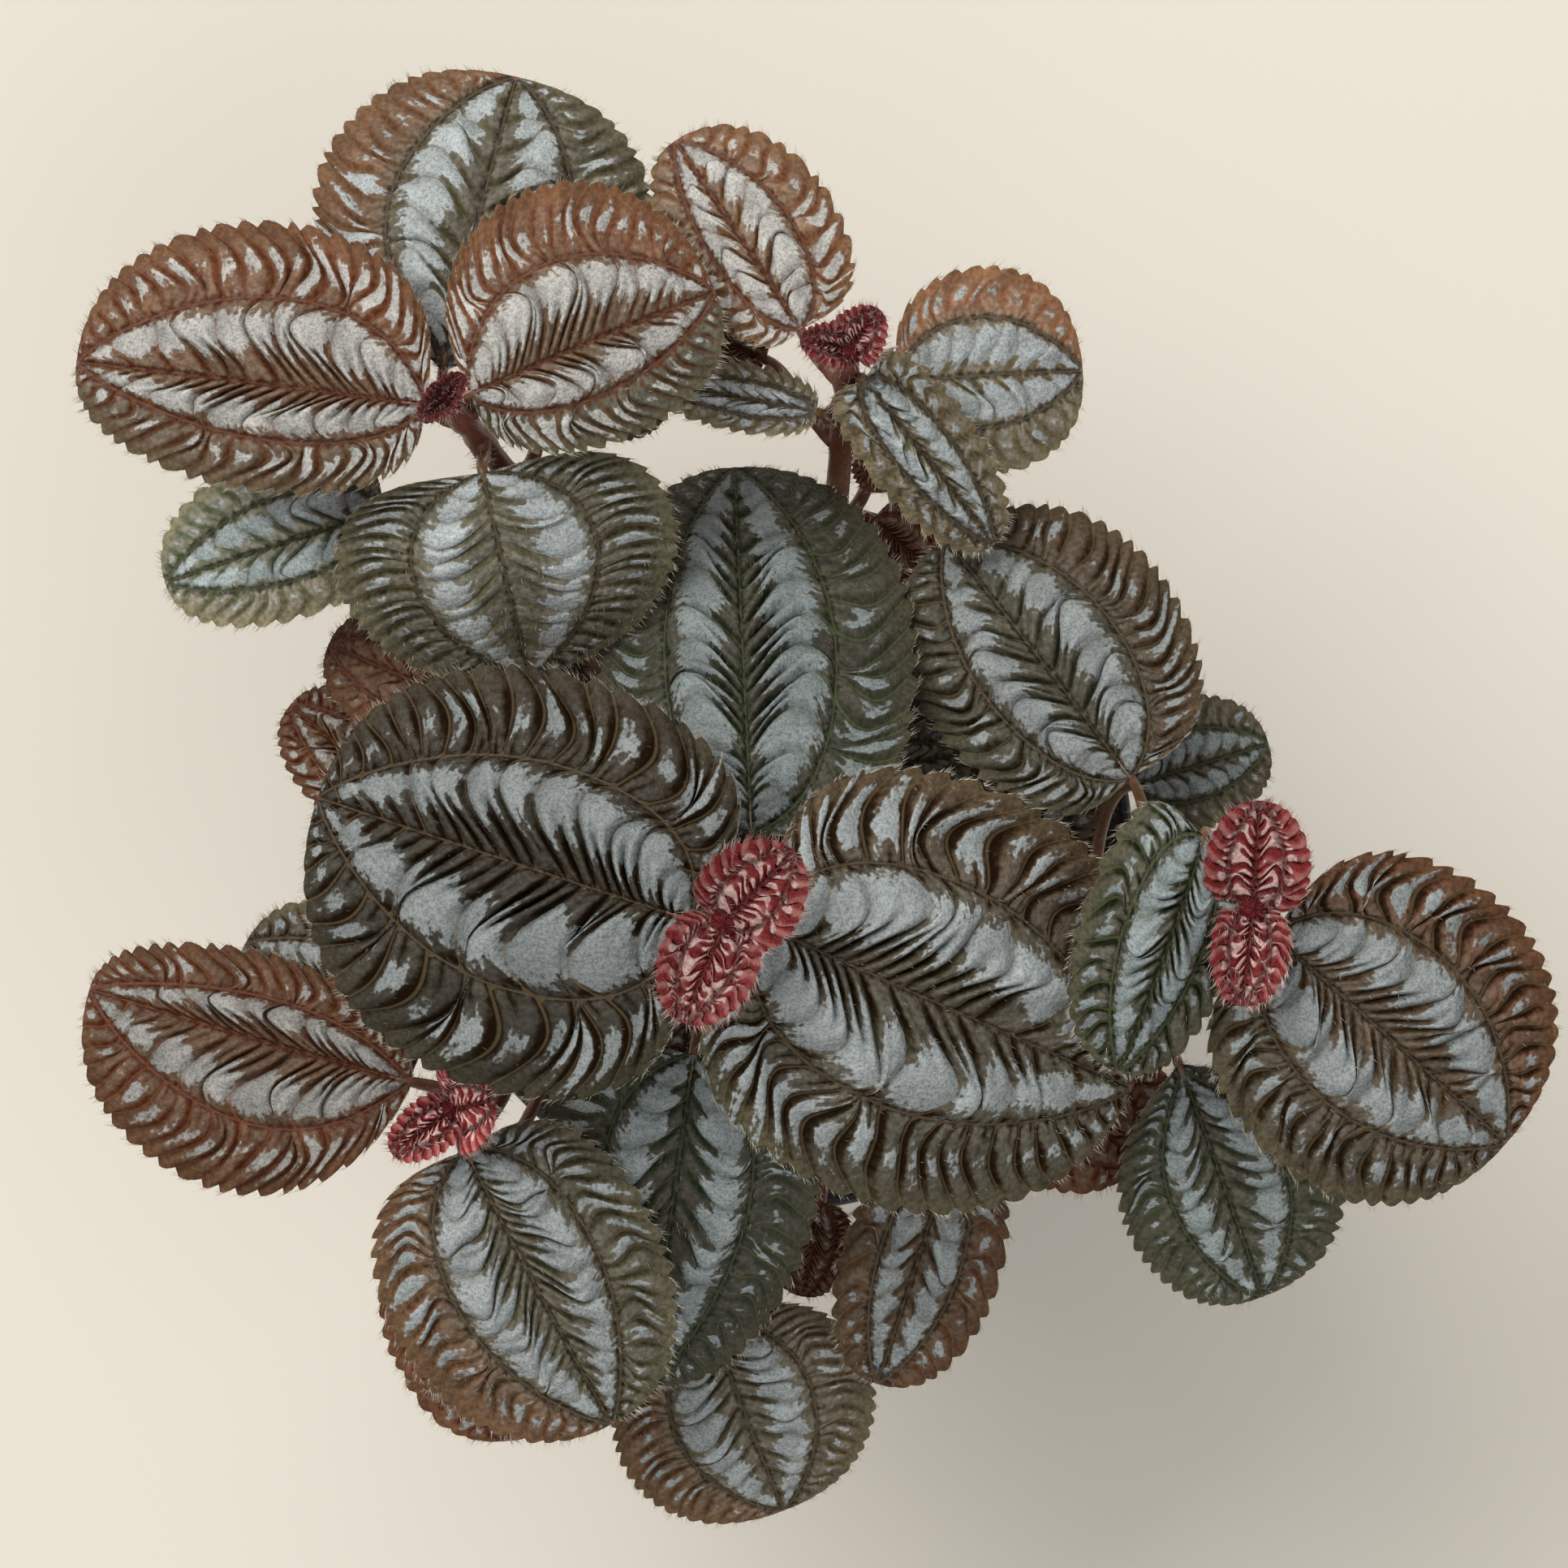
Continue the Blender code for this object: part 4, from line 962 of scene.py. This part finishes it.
def add_node(tree, kind, inputs=(), settings=None, out=0):
    """Adds one node with its settings and links, and gives one of its outputs.

    The inputs, in order or by name or number, are values or other nodes' outputs.
    """
    node = tree.nodes.new("ShaderNode" + kind)
    for name, value in (settings or {}).items():
        setattr(node, name, value)
    for key, value in (inputs if isinstance(inputs, dict) else dict(enumerate(inputs))).items():
        if isinstance(value, bpy.types.NodeSocket):
            tree.links.new(value, node.inputs[key])
        else:
            node.inputs[key].default_value = value
    return node.outputs[out]


def new_material(name):
    """An empty material, its node tree, its shader, and the coordinates of the plant in metres."""
    made = bpy.data.materials.new(name)
    made.use_nodes = True
    tree = made.node_tree
    return made, tree, tree.nodes["Principled BSDF"], add_node(tree, "TexCoord", out="Object")


def finish_surface(tree, shader, colour, roughness, grain, strength, relief_mm):
    """Gives a material its colour, its roughness, as one value or a pattern, and its grain's relief."""
    tree.links.new(colour, shader.inputs["Base Color"])
    if isinstance(roughness, float):
        shader.inputs["Roughness"].default_value = roughness
    else:
        tree.links.new(roughness, shader.inputs["Roughness"])
    raised = add_node(tree, "Bump", {"Strength": strength, "Distance": relief_mm * MM, "Height": grain})
    tree.links.new(raised, shader.inputs["Normal"])


def rgba(hex_colour):
    """An sRGB hex value as a solid colour for a socket."""
    return (*linear(hex_colour), 1)


def per_mm(size):
    """A noise scale for features of a real size in millimetres, on coordinates in metres."""
    return 1 / (size * MM)


def leaf_skin(name, tones):
    """Leaf epidermis, grown: waxy, satin, with air blisters under it that look like frosted silver.

    The silver's field comes from the mesh, and noise stretched along the ribs frays its edge. The
    furrows and the grooves of the veins are dark, partly with their own pigment and partly with painted
    shade, with the vein itself a thin paler line. The silver takes painted shade in the creases.
    """
    made, tree, shader, place = new_material(name)
    silver, silver_shade, furrow, vein = (rgba(tone) for tone in tones)
    read = {key: add_node(tree, "Attribute", (), {"attribute_name": key}, kept.output)
            for key, kept in POINT_VALUES.items()}
    along_ribs = add_node(tree, "VectorMath", (read["grain"], (1.0, 0.3, 1.0)), {"operation": "MULTIPLY"})
    fray = add_node(tree, "TexNoise",
                    {"Vector": along_ribs, "Scale": 1.0, "Detail": 2.0, "Roughness": 0.65})
    crumb = add_node(tree, "TexNoise", {"Vector": place, "Scale": per_mm(CRUMB_SIZE), "Detail": 1.0})
    cells = add_node(tree, "TexNoise", {"Vector": place, "Scale": per_mm(CELL_SIZE), "Detail": 1.0})
    frayed = add_node(tree, "Math", (fray, FRAY, read["silver"]), MULTIPLY_ADD)
    frayed = add_node(tree, "Math", (crumb, CRUMBLE, frayed), MULTIPLY_ADD)
    edge = [0.5 + (FRAY + CRUMBLE) / 2 + way for way in SILVER_EDGE]
    mask = add_node(tree, "MapRange", (frayed, *edge), SMOOTH)
    crest = add_node(tree, "Math", (crumb, 0.3, read["crest"]), MULTIPLY_ADD)
    from_vein = add_node(tree, "Math", (crumb, 1.2, read["vein"]), MULTIPLY_ADD)

    # The tissue: flecked, and dark in the furrows, partly their own pigment and partly painted shade.
    fleck = add_node(tree, "MapRange", (crumb, *TISSUE_FLECK), SMOOTH)
    tissue = add_node(tree, "VectorMath", {0: read["tissue"], "Scale": fleck}, SCALE)
    dark = add_node(tree, "MapRange", (crest, *FURROW_PIGMENT_AND_SHADE), SMOOTH)
    tissue = add_node(tree, "Mix", {0: dark, 6: tissue, 7: furrow}, COLOURS, 2)

    # The silver: speckled, as bright as the tissue's alpha says, and darkened by painted shade in the
    # creases.
    speckle = add_node(tree, "Math", (crumb, 0.5, cells), MULTIPLY_ADD)
    speckle = add_node(tree, "MapRange", (speckle, *SILVER_SPECKLE), SMOOTH)
    frost = add_node(tree, "Mix", {0: speckle, 6: silver_shade, 7: silver}, COLOURS, 2)
    frost = add_node(tree, "VectorMath", {0: frost, "Scale": read["tissue"].node.outputs["Alpha"]}, SCALE)
    crease_shade = add_node(tree, "MapRange", (crest, *SILVER_SHADE_IN_CREASES), SMOOTH)
    frost = add_node(tree, "Mix", {0: crease_shade, 6: frost, 7: tissue}, COLOURS, 2)

    # The two together, with the grooves at the veins darkened, partly by their pigment and partly by painted
    # shade, and a fine thread in each.
    colour = add_node(tree, "Mix", {0: mask, 6: tissue, 7: frost}, COLOURS, 2)
    groove = add_node(tree, "MapRange", (from_vein, *VEIN_PIGMENT_AND_SHADE), SMOOTH)
    colour = add_node(tree, "Mix", {0: groove, 6: colour, 7: furrow}, COLOURS, 2)
    thread = add_node(tree, "MapRange", (read["line"], *VEIN_THREAD), SMOOTH)
    colour = add_node(tree, "Mix", {0: thread, 6: colour, 7: vein}, COLOURS, 2)
    wax = add_node(tree, "MapRange", (crest, *WAX), SMOOTH)
    tree.links.new(wax, shader.inputs["Specular IOR Level"])
    rough = add_node(tree, "MapRange", (cells, *SATIN), SMOOTH)
    grain = add_node(tree, "Math", (cells, 0.25, crumb), MULTIPLY_ADD)
    finish_surface(tree, shader, colour, rough, grain, 0.6, 0.5)
    return made


def stalk_skin():
    """Fleshy stem skin, grown: watery, smooth, red-brown to olive, mottled darker, with a soft gloss."""
    made, tree, shader, place = new_material("fleshy_stalk")
    own = add_node(tree, "Attribute", (), {"attribute_name": "tissue"}, "Color")
    mottle = add_node(tree, "TexNoise", {"Vector": place, "Scale": per_mm(1.2), "Detail": 3.0})
    share = add_node(tree, "MapRange", (mottle, 0.5, 0.75, 0.0, 0.5), SMOOTH)
    colour = add_node(tree, "Mix", {0: share, 6: own, 7: rgba("#3E1C16")}, COLOURS, 2)
    finish_surface(tree, shader, colour, 0.42, mottle, 0.4, 0.15)
    return made


def two_tone(name, dark, light, low, high, grain_mm, roughness, relief_mm):
    """A material of two tones that noise of a real grain size mixes and raises: hair, peat or bark.

    The noise goes from the dark tone at low to the light one at high.
    """
    made, tree, shader, place = new_material(name)
    noise = {"Vector": place, "Scale": per_mm(grain_mm), "Detail": 5.0, "Roughness": 0.65}
    grain = add_node(tree, "TexNoise", noise)
    share = add_node(tree, "MapRange", (grain, low, high), SMOOTH)
    colour = add_node(tree, "Mix", {0: share, 6: rgba(dark), 7: rgba(light)}, COLOURS, 2)
    finish_surface(tree, shader, colour, roughness, grain, 0.8, relief_mm)
    return made


def pot_plastic():
    """Polypropylene, injection moulded: black, satin, with a faint matt grain and patches of dried dust."""
    made, tree, shader, place = new_material("moulded_polypropylene")
    grain = add_node(tree, "TexNoise", {"Vector": place, "Scale": per_mm(0.5), "Detail": 2.0})
    dust = add_node(tree, "TexNoise",
                    {"Vector": place, "Scale": per_mm(14), "Detail": 5.0, "Roughness": 0.65})
    share = add_node(tree, "MapRange", (dust, 0.5, 0.75), SMOOTH)
    colour = add_node(tree, "Mix", {0: share, 6: rgba("#26272A"), 7: rgba("#3A3934")}, COLOURS, 2)
    rough = add_node(tree, "MapRange", (dust, 0.35, 0.7, 0.36, 0.62), SMOOTH)
    finish_surface(tree, shader, colour, rough, grain, 0.25, 0.08)
    return made


def floor_paint():
    """Plain pale studio floor, matt painted, warm white."""
    made, _, shader, _ = new_material("matt_floor")
    shader.inputs["Base Color"].default_value = rgba("#DCD6CB")
    shader.inputs["Roughness"].default_value = 0.9
    shader.inputs["Specular IOR Level"].default_value = 0.1
    return made


def add_leaves(skins, stalk, hair):
    """Every leaf, in place of its CAD node: blade, petiole and hairs."""
    for number, leaf in enumerate(LEAVES):
        draw = np.random.default_rng(LEAF_SEED + number)
        grid = BIG_GRID if sum(leaf.sides) > BIG_LEAF else SMALL_GRID
        coat = COATS.get(leaf.name, Coat())
        part = Part()
        add_blade(part, leaf, grid, number, coat, tissue_colour, silver_field, UNDERSIDE)
        line = petiole_line(leaf)
        radii = PETIOLE_RADIUS * np.linspace(*PETIOLE_TAPER, len(line))
        radii[:2] *= PETIOLE_FLARE
        tone = blend(STALK_RED, STALK_OLIVE, np.linspace(0.2, 0.8 * coat.green + 0.2, len(line)))
        stalk_roots, stalk_ways = add_stalk(part, line, radii, tone, PETIOLE_SIDES, PETIOLE_HAIRS, draw)
        length = chord_of(leaf).length
        margin, surface = int(MARGIN_HAIRS * length), int(SKIN_HAIRS * length * sum(leaf.sides))
        roots, ways = blade_hairs(leaf, grid, number, margin, surface, draw)
        roots, ways = np.vstack([roots, stalk_roots]), np.vstack([ways, stalk_ways])
        lengths = HAIR_LENGTH * draw.uniform(0.5, 1.1, len(roots))
        lengths[margin:margin + surface] *= 0.6
        part.add(*cones(roots, ways, lengths), mark=HAIR)
        skin = skins["rust" if coat.rust > 0.3 else "green" if coat.green > 0.5 else "brown"]
        node = "leaf_" + leaf.name
        make_piece(node + "_quilted", part, (skin, stalk, hair), (node,))


def add_stems(stalk, hair):
    """Every stem, in place of its CAD node: it swells a little where a petiole joins it."""
    for number, stem in enumerate(STEMS):
        draw = np.random.default_rng(STEM_SEED + number)
        line = stem_line(stem, STEM_STEPS)
        joints = [leaf.joint for leaf in LEAVES if leaf.name[0] == stem]
        swell = sum(JOINT_SWELL * np.exp(-(((line[:, 2] - joint) / SWELL_LENGTH) ** 2)) for joint in joints)
        radii = stem_radius(line[:, 2], stem) + np.minimum(swell, MOST_SWELL)
        tone = blend(STALK_OLIVE * 0.8, STALK_RED, smooth_step(line[:, 2], SOIL_TOP, line[-1, 2]))
        part = Part()
        roots, ways = add_stalk(part, line, radii, tone, STEM_SIDES, STEM_HAIRS, draw)
        above = roots[:, 2] > SOIL_TOP + 3
        lengths = HAIR_LENGTH * draw.uniform(0.4, 1.0, above.sum())
        part.add(*cones(roots[above], ways[above], lengths), mark=HAIR)
        make_piece("stem_" + stem + "_fleshy", part, (stalk, stalk, hair), ("stem_" + stem,))


def add_bud(part, centre, draw):
    """A lumpy bud: a sphere with shallow folds up to its top. It gives its hairs' roots and ways."""
    polar, turn = np.linspace(0.03, np.pi - 0.03, 18), np.linspace(0, 2 * np.pi, 28, endpoint=False)
    polar, turn = np.meshgrid(polar, turn, indexing="ij")
    radius = BUD_RADIUS * (1 + 0.14 * np.abs(np.sin(3 * turn + polar)) - 0.1)
    flat = radius * np.sin(polar)
    points = np.stack([flat * np.cos(turn), flat * np.sin(turn), radius * np.cos(polar)], -1)
    points = centre + points.reshape(-1, 3)
    quads, _, _ = ring_faces(*polar.shape)
    rows, columns = polar.shape
    caps = [np.arange(columns)], [((rows - 1) * columns + np.arange(columns))[::-1]]
    count = len(points)
    colour = np.broadcast_to(CRIMSON * 0.6, (count, 3))
    part.add(points, (quads[:, ::-1], *caps), tissue=with_alpha(colour), crest=np.full(count, 0.8),
             vein=np.full(count, FAR), line=np.full(count, FAR))
    ways = draw.normal(0, 1, (BUD_HAIRS, 3))
    ways[:, 2] = np.abs(ways[:, 2])
    ways = units(ways)
    return centre + BUD_RADIUS * ways, ways


def add_tips(young, stalk, hair):
    """Every growing tip, in place of its CAD node: a bud and two crinkled young leaves, all hairy."""
    for number, (name, pair) in enumerate(TIPS.items()):
        draw = np.random.default_rng(TIP_SEED + number)
        part = Part()
        centre = np.array(STEMS[name][-1], float)
        hairs = [add_bud(part, centre, draw)]
        for which, one in enumerate(pair):
            shape = Leaf("young", None, centre + (0, 0, YOUNG_LIFT), one.tip, (one.half, one.half),
                         (YOUNG_DROP, YOUNG_DROP), YOUNG_ARCH)
            seed = YOUNG_SEED + 2 * number + which
            coat = YOUNG_COAT._replace(tone=one.tone)
            add_blade(part, shape, YOUNG_GRID, seed, coat, young_colour, young_silver, CRIMSON * 0.8)
            count = int(YOUNG_HAIRS * one.half)
            hairs.append(blade_hairs(shape, YOUNG_GRID, seed, count, count, draw))
        roots, ways = (np.vstack(some) for some in zip(*hairs))
        part.add(*cones(roots, ways, HAIR_LENGTH * draw.uniform(0.5, 1.1, len(roots))), mark=HAIR)
        make_piece("tip_" + name + "_crinkled", part, (young, stalk, hair), ("tip_" + name,))


def turned(profile, sides):
    """A profile turned about Z: its points, with its first and last on the axis, and its faces."""
    turn = np.linspace(0, 2 * np.pi, sides, endpoint=False)
    ring = np.array(profile[1:-1], float)
    radius, height = ring[:, :1], np.repeat(ring[:, 1:], sides, 1)
    points = np.stack([radius * np.cos(turn), radius * np.sin(turn), height], -1).reshape(-1, 3)
    points = np.vstack([points, (0, 0, profile[0][1]), (0, 0, profile[-1][1])])
    return points, ring_faces(len(ring), sides)


def rounded(corner, radius, start, end, count=5):
    """Points on an arc round a corner's centre, from one angle to another in degrees."""
    turn = np.radians(np.linspace(start, end, count))
    return [(corner[0] + radius * math.cos(t), corner[1] + radius * math.sin(t)) for t in turn]


def add_pot(plastic):
    """The pot: one moulded wall with a round foot edge, a stepped rim with a round lip, and drain holes."""
    foot, neck, rim, wall = POT_FOOT_RADIUS, POT_NECK_RADIUS, POT_RIM_RADIUS, POT_WALL
    top, rim_low = POT_HEIGHT, POT_HEIGHT - POT_RIM_HEIGHT
    profile = [
        (0, 0),
        (foot - 3, 0),
        *rounded((foot - FOOT_ROUND, FOOT_ROUND), FOOT_ROUND, -90, -8),
        (neck - 0.3, rim_low - 1.2),
        (neck + 0.3, rim_low - 0.3),
        *rounded((rim - RIM_ROUND, rim_low + RIM_ROUND), RIM_ROUND, -90, 0),
        (rim, top - 4),
        (rim, top - RIM_ROUND),
        *rounded((rim - RIM_ROUND, top - RIM_ROUND), RIM_ROUND, 10, 170, 7),
        (rim - wall, top - 1.2),
        (rim - wall, rim_low + 2 * wall),
        (neck - wall, rim_low + wall),
        (foot - wall, wall + 1.0),
        (foot - wall - 1, wall),
        (0, wall),
    ]
    part = Part()
    part.add(*turned(profile, POT_SIDES))
    pot = make_piece("pot_moulded", part, (plastic,), ("pot",))
    cutters = Part()
    for turn in np.arange(DRAIN_HOLES) * 2 * math.pi / DRAIN_HOLES:
        x, y = DRAIN_CIRCLE * math.cos(turn), DRAIN_CIRCLE * math.sin(turn)
        line = np.array([(x, y, -2.0), (x, y, 2.0), (x, y, 6.0)])
        cutters.add(*tube(line, np.full(3, DRAIN_RADIUS), 32))
    cut_and_apply(pot, cutters)
    pot.data.set_sharp_from_angle(angle=math.radians(38))


def cut_and_apply(body, part):
    """Cuts a part's closed bodies from an object with a Boolean, and keeps the result as its mesh."""
    cutter = make_piece("cutter", part, ())
    cut = body.modifiers.new("holes", "BOOLEAN")
    cut.operation = "DIFFERENCE"
    cut.object = cutter
    bpy.context.view_layer.update()
    fused = bpy.data.meshes.new_from_object(body.evaluated_get(bpy.context.evaluated_depsgraph_get()))
    body.modifiers.clear()
    body.data = fused
    bpy.data.objects.remove(cutter)


def soil_height(x, y):
    """The soil's crumbly top: three sizes of lumps on top of each other."""
    return SOIL_TOP + 0.7 + 0.9 * waves(x, y, 9, 3) + 0.7 * waves(x, y, 3.4, 4) + 0.35 * waves(x, y, 1.5, 5)


def icosahedron():
    """Twelve corners on a unit sphere, and the twenty triangles between near ones, turned outwards."""
    golden = (1 + 5**0.5) / 2
    corners = np.array([(0, i, j * golden) for i in (-1, 1) for j in (-1, 1)])
    corners = units(np.vstack([corners, np.roll(corners, 1, 1), np.roll(corners, 2, 1)]))
    near = np.linalg.norm(corners[:, None] - corners[None], axis=-1) < 1.1
    faces = []
    for i, j, k in itertools.combinations(range(12), 3):
        if near[i, j] and near[j, k] and near[i, k]:
            normal = np.cross(corners[j] - corners[i], corners[k] - corners[i])
            faces.append((i, j, k) if normal @ corners[i] > 0 else (i, k, j))
    return corners, np.array(faces)


def add_soil(mix_skin, bark):
    """The soil: a plug that fills the pot with a crumbly top, and chips of bark lying on it.

    A chip is a flat icosahedron with each corner moved in or out at random, turned about Z.
    """
    inner_foot = POT_FOOT_RADIUS - POT_WALL - SOIL_GAP
    slope = (POT_NECK_RADIUS - POT_FOOT_RADIUS) / (POT_HEIGHT - POT_RIM_HEIGHT - 1)
    outer = inner_foot + slope * (SOIL_TOP - 2.6)
    profile = [(0, SOIL_FOOT), (inner_foot + slope * 0.6, SOIL_FOOT)]
    profile += [(outer * share, SOIL_TOP) for share in np.linspace(1, 0.01, SOIL_RINGS)]
    profile += [(0, SOIL_TOP)]
    points, faces = turned(profile, SOIL_SIDES)
    top = points[:, 2] > SOIL_TOP - 1
    points[top, 2] = soil_height(points[top, 0], points[top, 1])
    part = Part()
    part.add(points, faces)

    draw = np.random.default_rng(SOIL_SEED)
    radius = ((outer - 3) * np.sqrt(draw.uniform(0, 1, SPOTS)))[:CHIPS]
    turn = draw.uniform(0, 2 * np.pi, SPOTS)[:CHIPS]
    x, y = radius * np.cos(turn), radius * np.sin(turn)
    size = draw.uniform(0.7, 1.7, (CHIPS, 1, 1))
    corners, triangles = icosahedron()
    chip = corners[None] * draw.uniform(0.75, 1.2, (CHIPS, 12, 1)) * size * np.array(CHIP_STRETCH)
    spin = draw.uniform(0, 2 * np.pi, CHIPS)
    cos, sin = np.cos(spin)[:, None], np.sin(spin)[:, None]
    chip = np.stack([chip[..., 0] * cos - chip[..., 1] * sin, chip[..., 0] * sin + chip[..., 1] * cos,
                     chip[..., 2]], -1)
    chip = chip + np.stack([x, y, soil_height(x, y) + 0.25], -1)[:, None]
    faces = triangles[None] + (np.arange(CHIPS) * 12)[:, None, None]
    part.add(chip, (faces.reshape(-1, 3),), mark=1)
    make_piece("soil_crumbly", part, (mix_skin, bark), ("soil",), sharp=50)


def add_floor():
    """The floor, a plain sheet that reaches past every view."""
    mesh = bpy.data.meshes.new("floor")
    reach = 6.0
    corners = [(-reach, -reach, 0), (reach, -reach, 0), (reach, reach, 0), (-reach, reach, 0)]
    mesh.from_pydata(corners, [], [(0, 1, 2, 3)])
    mesh.materials.append(floor_paint())
    floor = bpy.data.objects.new("floor", mesh)
    bpy.context.scene.collection.objects.link(floor)


def add_light(name, place, aim, size, watts, colour):
    """A square soft box, turned to its aim."""
    light = bpy.data.lights.new(name, "AREA")
    light.shape = "SQUARE"
    light.size = size
    light.energy = watts
    light.color = tuple(linear(colour))
    lamp = bpy.data.objects.new(name, light)
    lamp.location = place
    lamp.rotation_euler = (Vector(aim) - Vector(place)).to_track_quat("-Z", "Y").to_euler()
    bpy.context.scene.collection.objects.link(lamp)


def add_studio():
    """Soft daylight: a pale sky all round, a broad soft box from the photo's upper left, a weak fill."""
    world = bpy.data.worlds.new("pale_sky")
    world.use_nodes = True
    sky = world.node_tree.nodes["Background"]
    sky.inputs["Color"].default_value = rgba("#F8F8F6")
    sky.inputs["Strength"].default_value = 0.46
    bpy.context.scene.world = world
    add_light("soft_box", (-0.95, 1.05, 1.8), (0, 0, 0.1), 1.5, 45, "#FFFDF8")
    add_light("fill", (0.8, -0.9, 2.0), (0, 0, 0.1), 1.8, 14, "#FFFFFF")


def add_camera():
    """The photo's camera: straight down, 850 mm above the top leaves, with the photo's upper edge at +Y."""
    camera = bpy.data.cameras.new("camera")
    camera.sensor_width = 36.0
    camera.lens = 36.0 * CAMERA_ABOVE / FRAME_WIDTH
    camera.clip_start, camera.clip_end = 0.05, 20
    made = bpy.data.objects.new("camera", camera)
    made.location = (1 * MM, 12 * MM, (LEAF_TOPS + CAMERA_ABOVE) * MM)
    bpy.context.scene.collection.objects.link(made)
    bpy.context.scene.camera = made


def main():
    """Everything in the scene: the studio, then the plant from its leaves down to its soil."""
    add_camera()
    add_studio()
    add_floor()
    # Plant hair, grown: dry and pale.
    hair = two_tone("pale_hair", "#8E8474", "#D0C6B4", 0.35, 0.65, 3, 0.5, 0.01)
    red_hair = two_tone("rosy_hair", "#A87870", "#DCC0B8", 0.35, 0.65, 3, 0.5, 0.01)
    # Peat and composted bark, loose and damp: near black brown with paler fibres. The chips are dry.
    peat = two_tone("peat_and_bark", "#1A130F", "#4A3626", 0.42, 0.7, 2.2, 0.92, 0.6)
    bark = two_tone("bark_chip", "#2E2018", "#5E4632", 0.35, 0.65, 0.8, 0.85, 0.2)
    stalk = stalk_skin()
    skins = {key: leaf_skin("quilted_leaf_" + key, SKIN_TONES[key]) for key in ("green", "brown", "rust")}
    add_leaves(skins, stalk, hair)
    add_stems(stalk, hair)
    add_tips(leaf_skin("crinkled_young_leaf", SKIN_TONES["young"]), stalk, red_hair)
    add_pot(pot_plastic())
    add_soil(peat, bark)


main()
bpy.context.scene.view_settings.view_transform = "Standard"
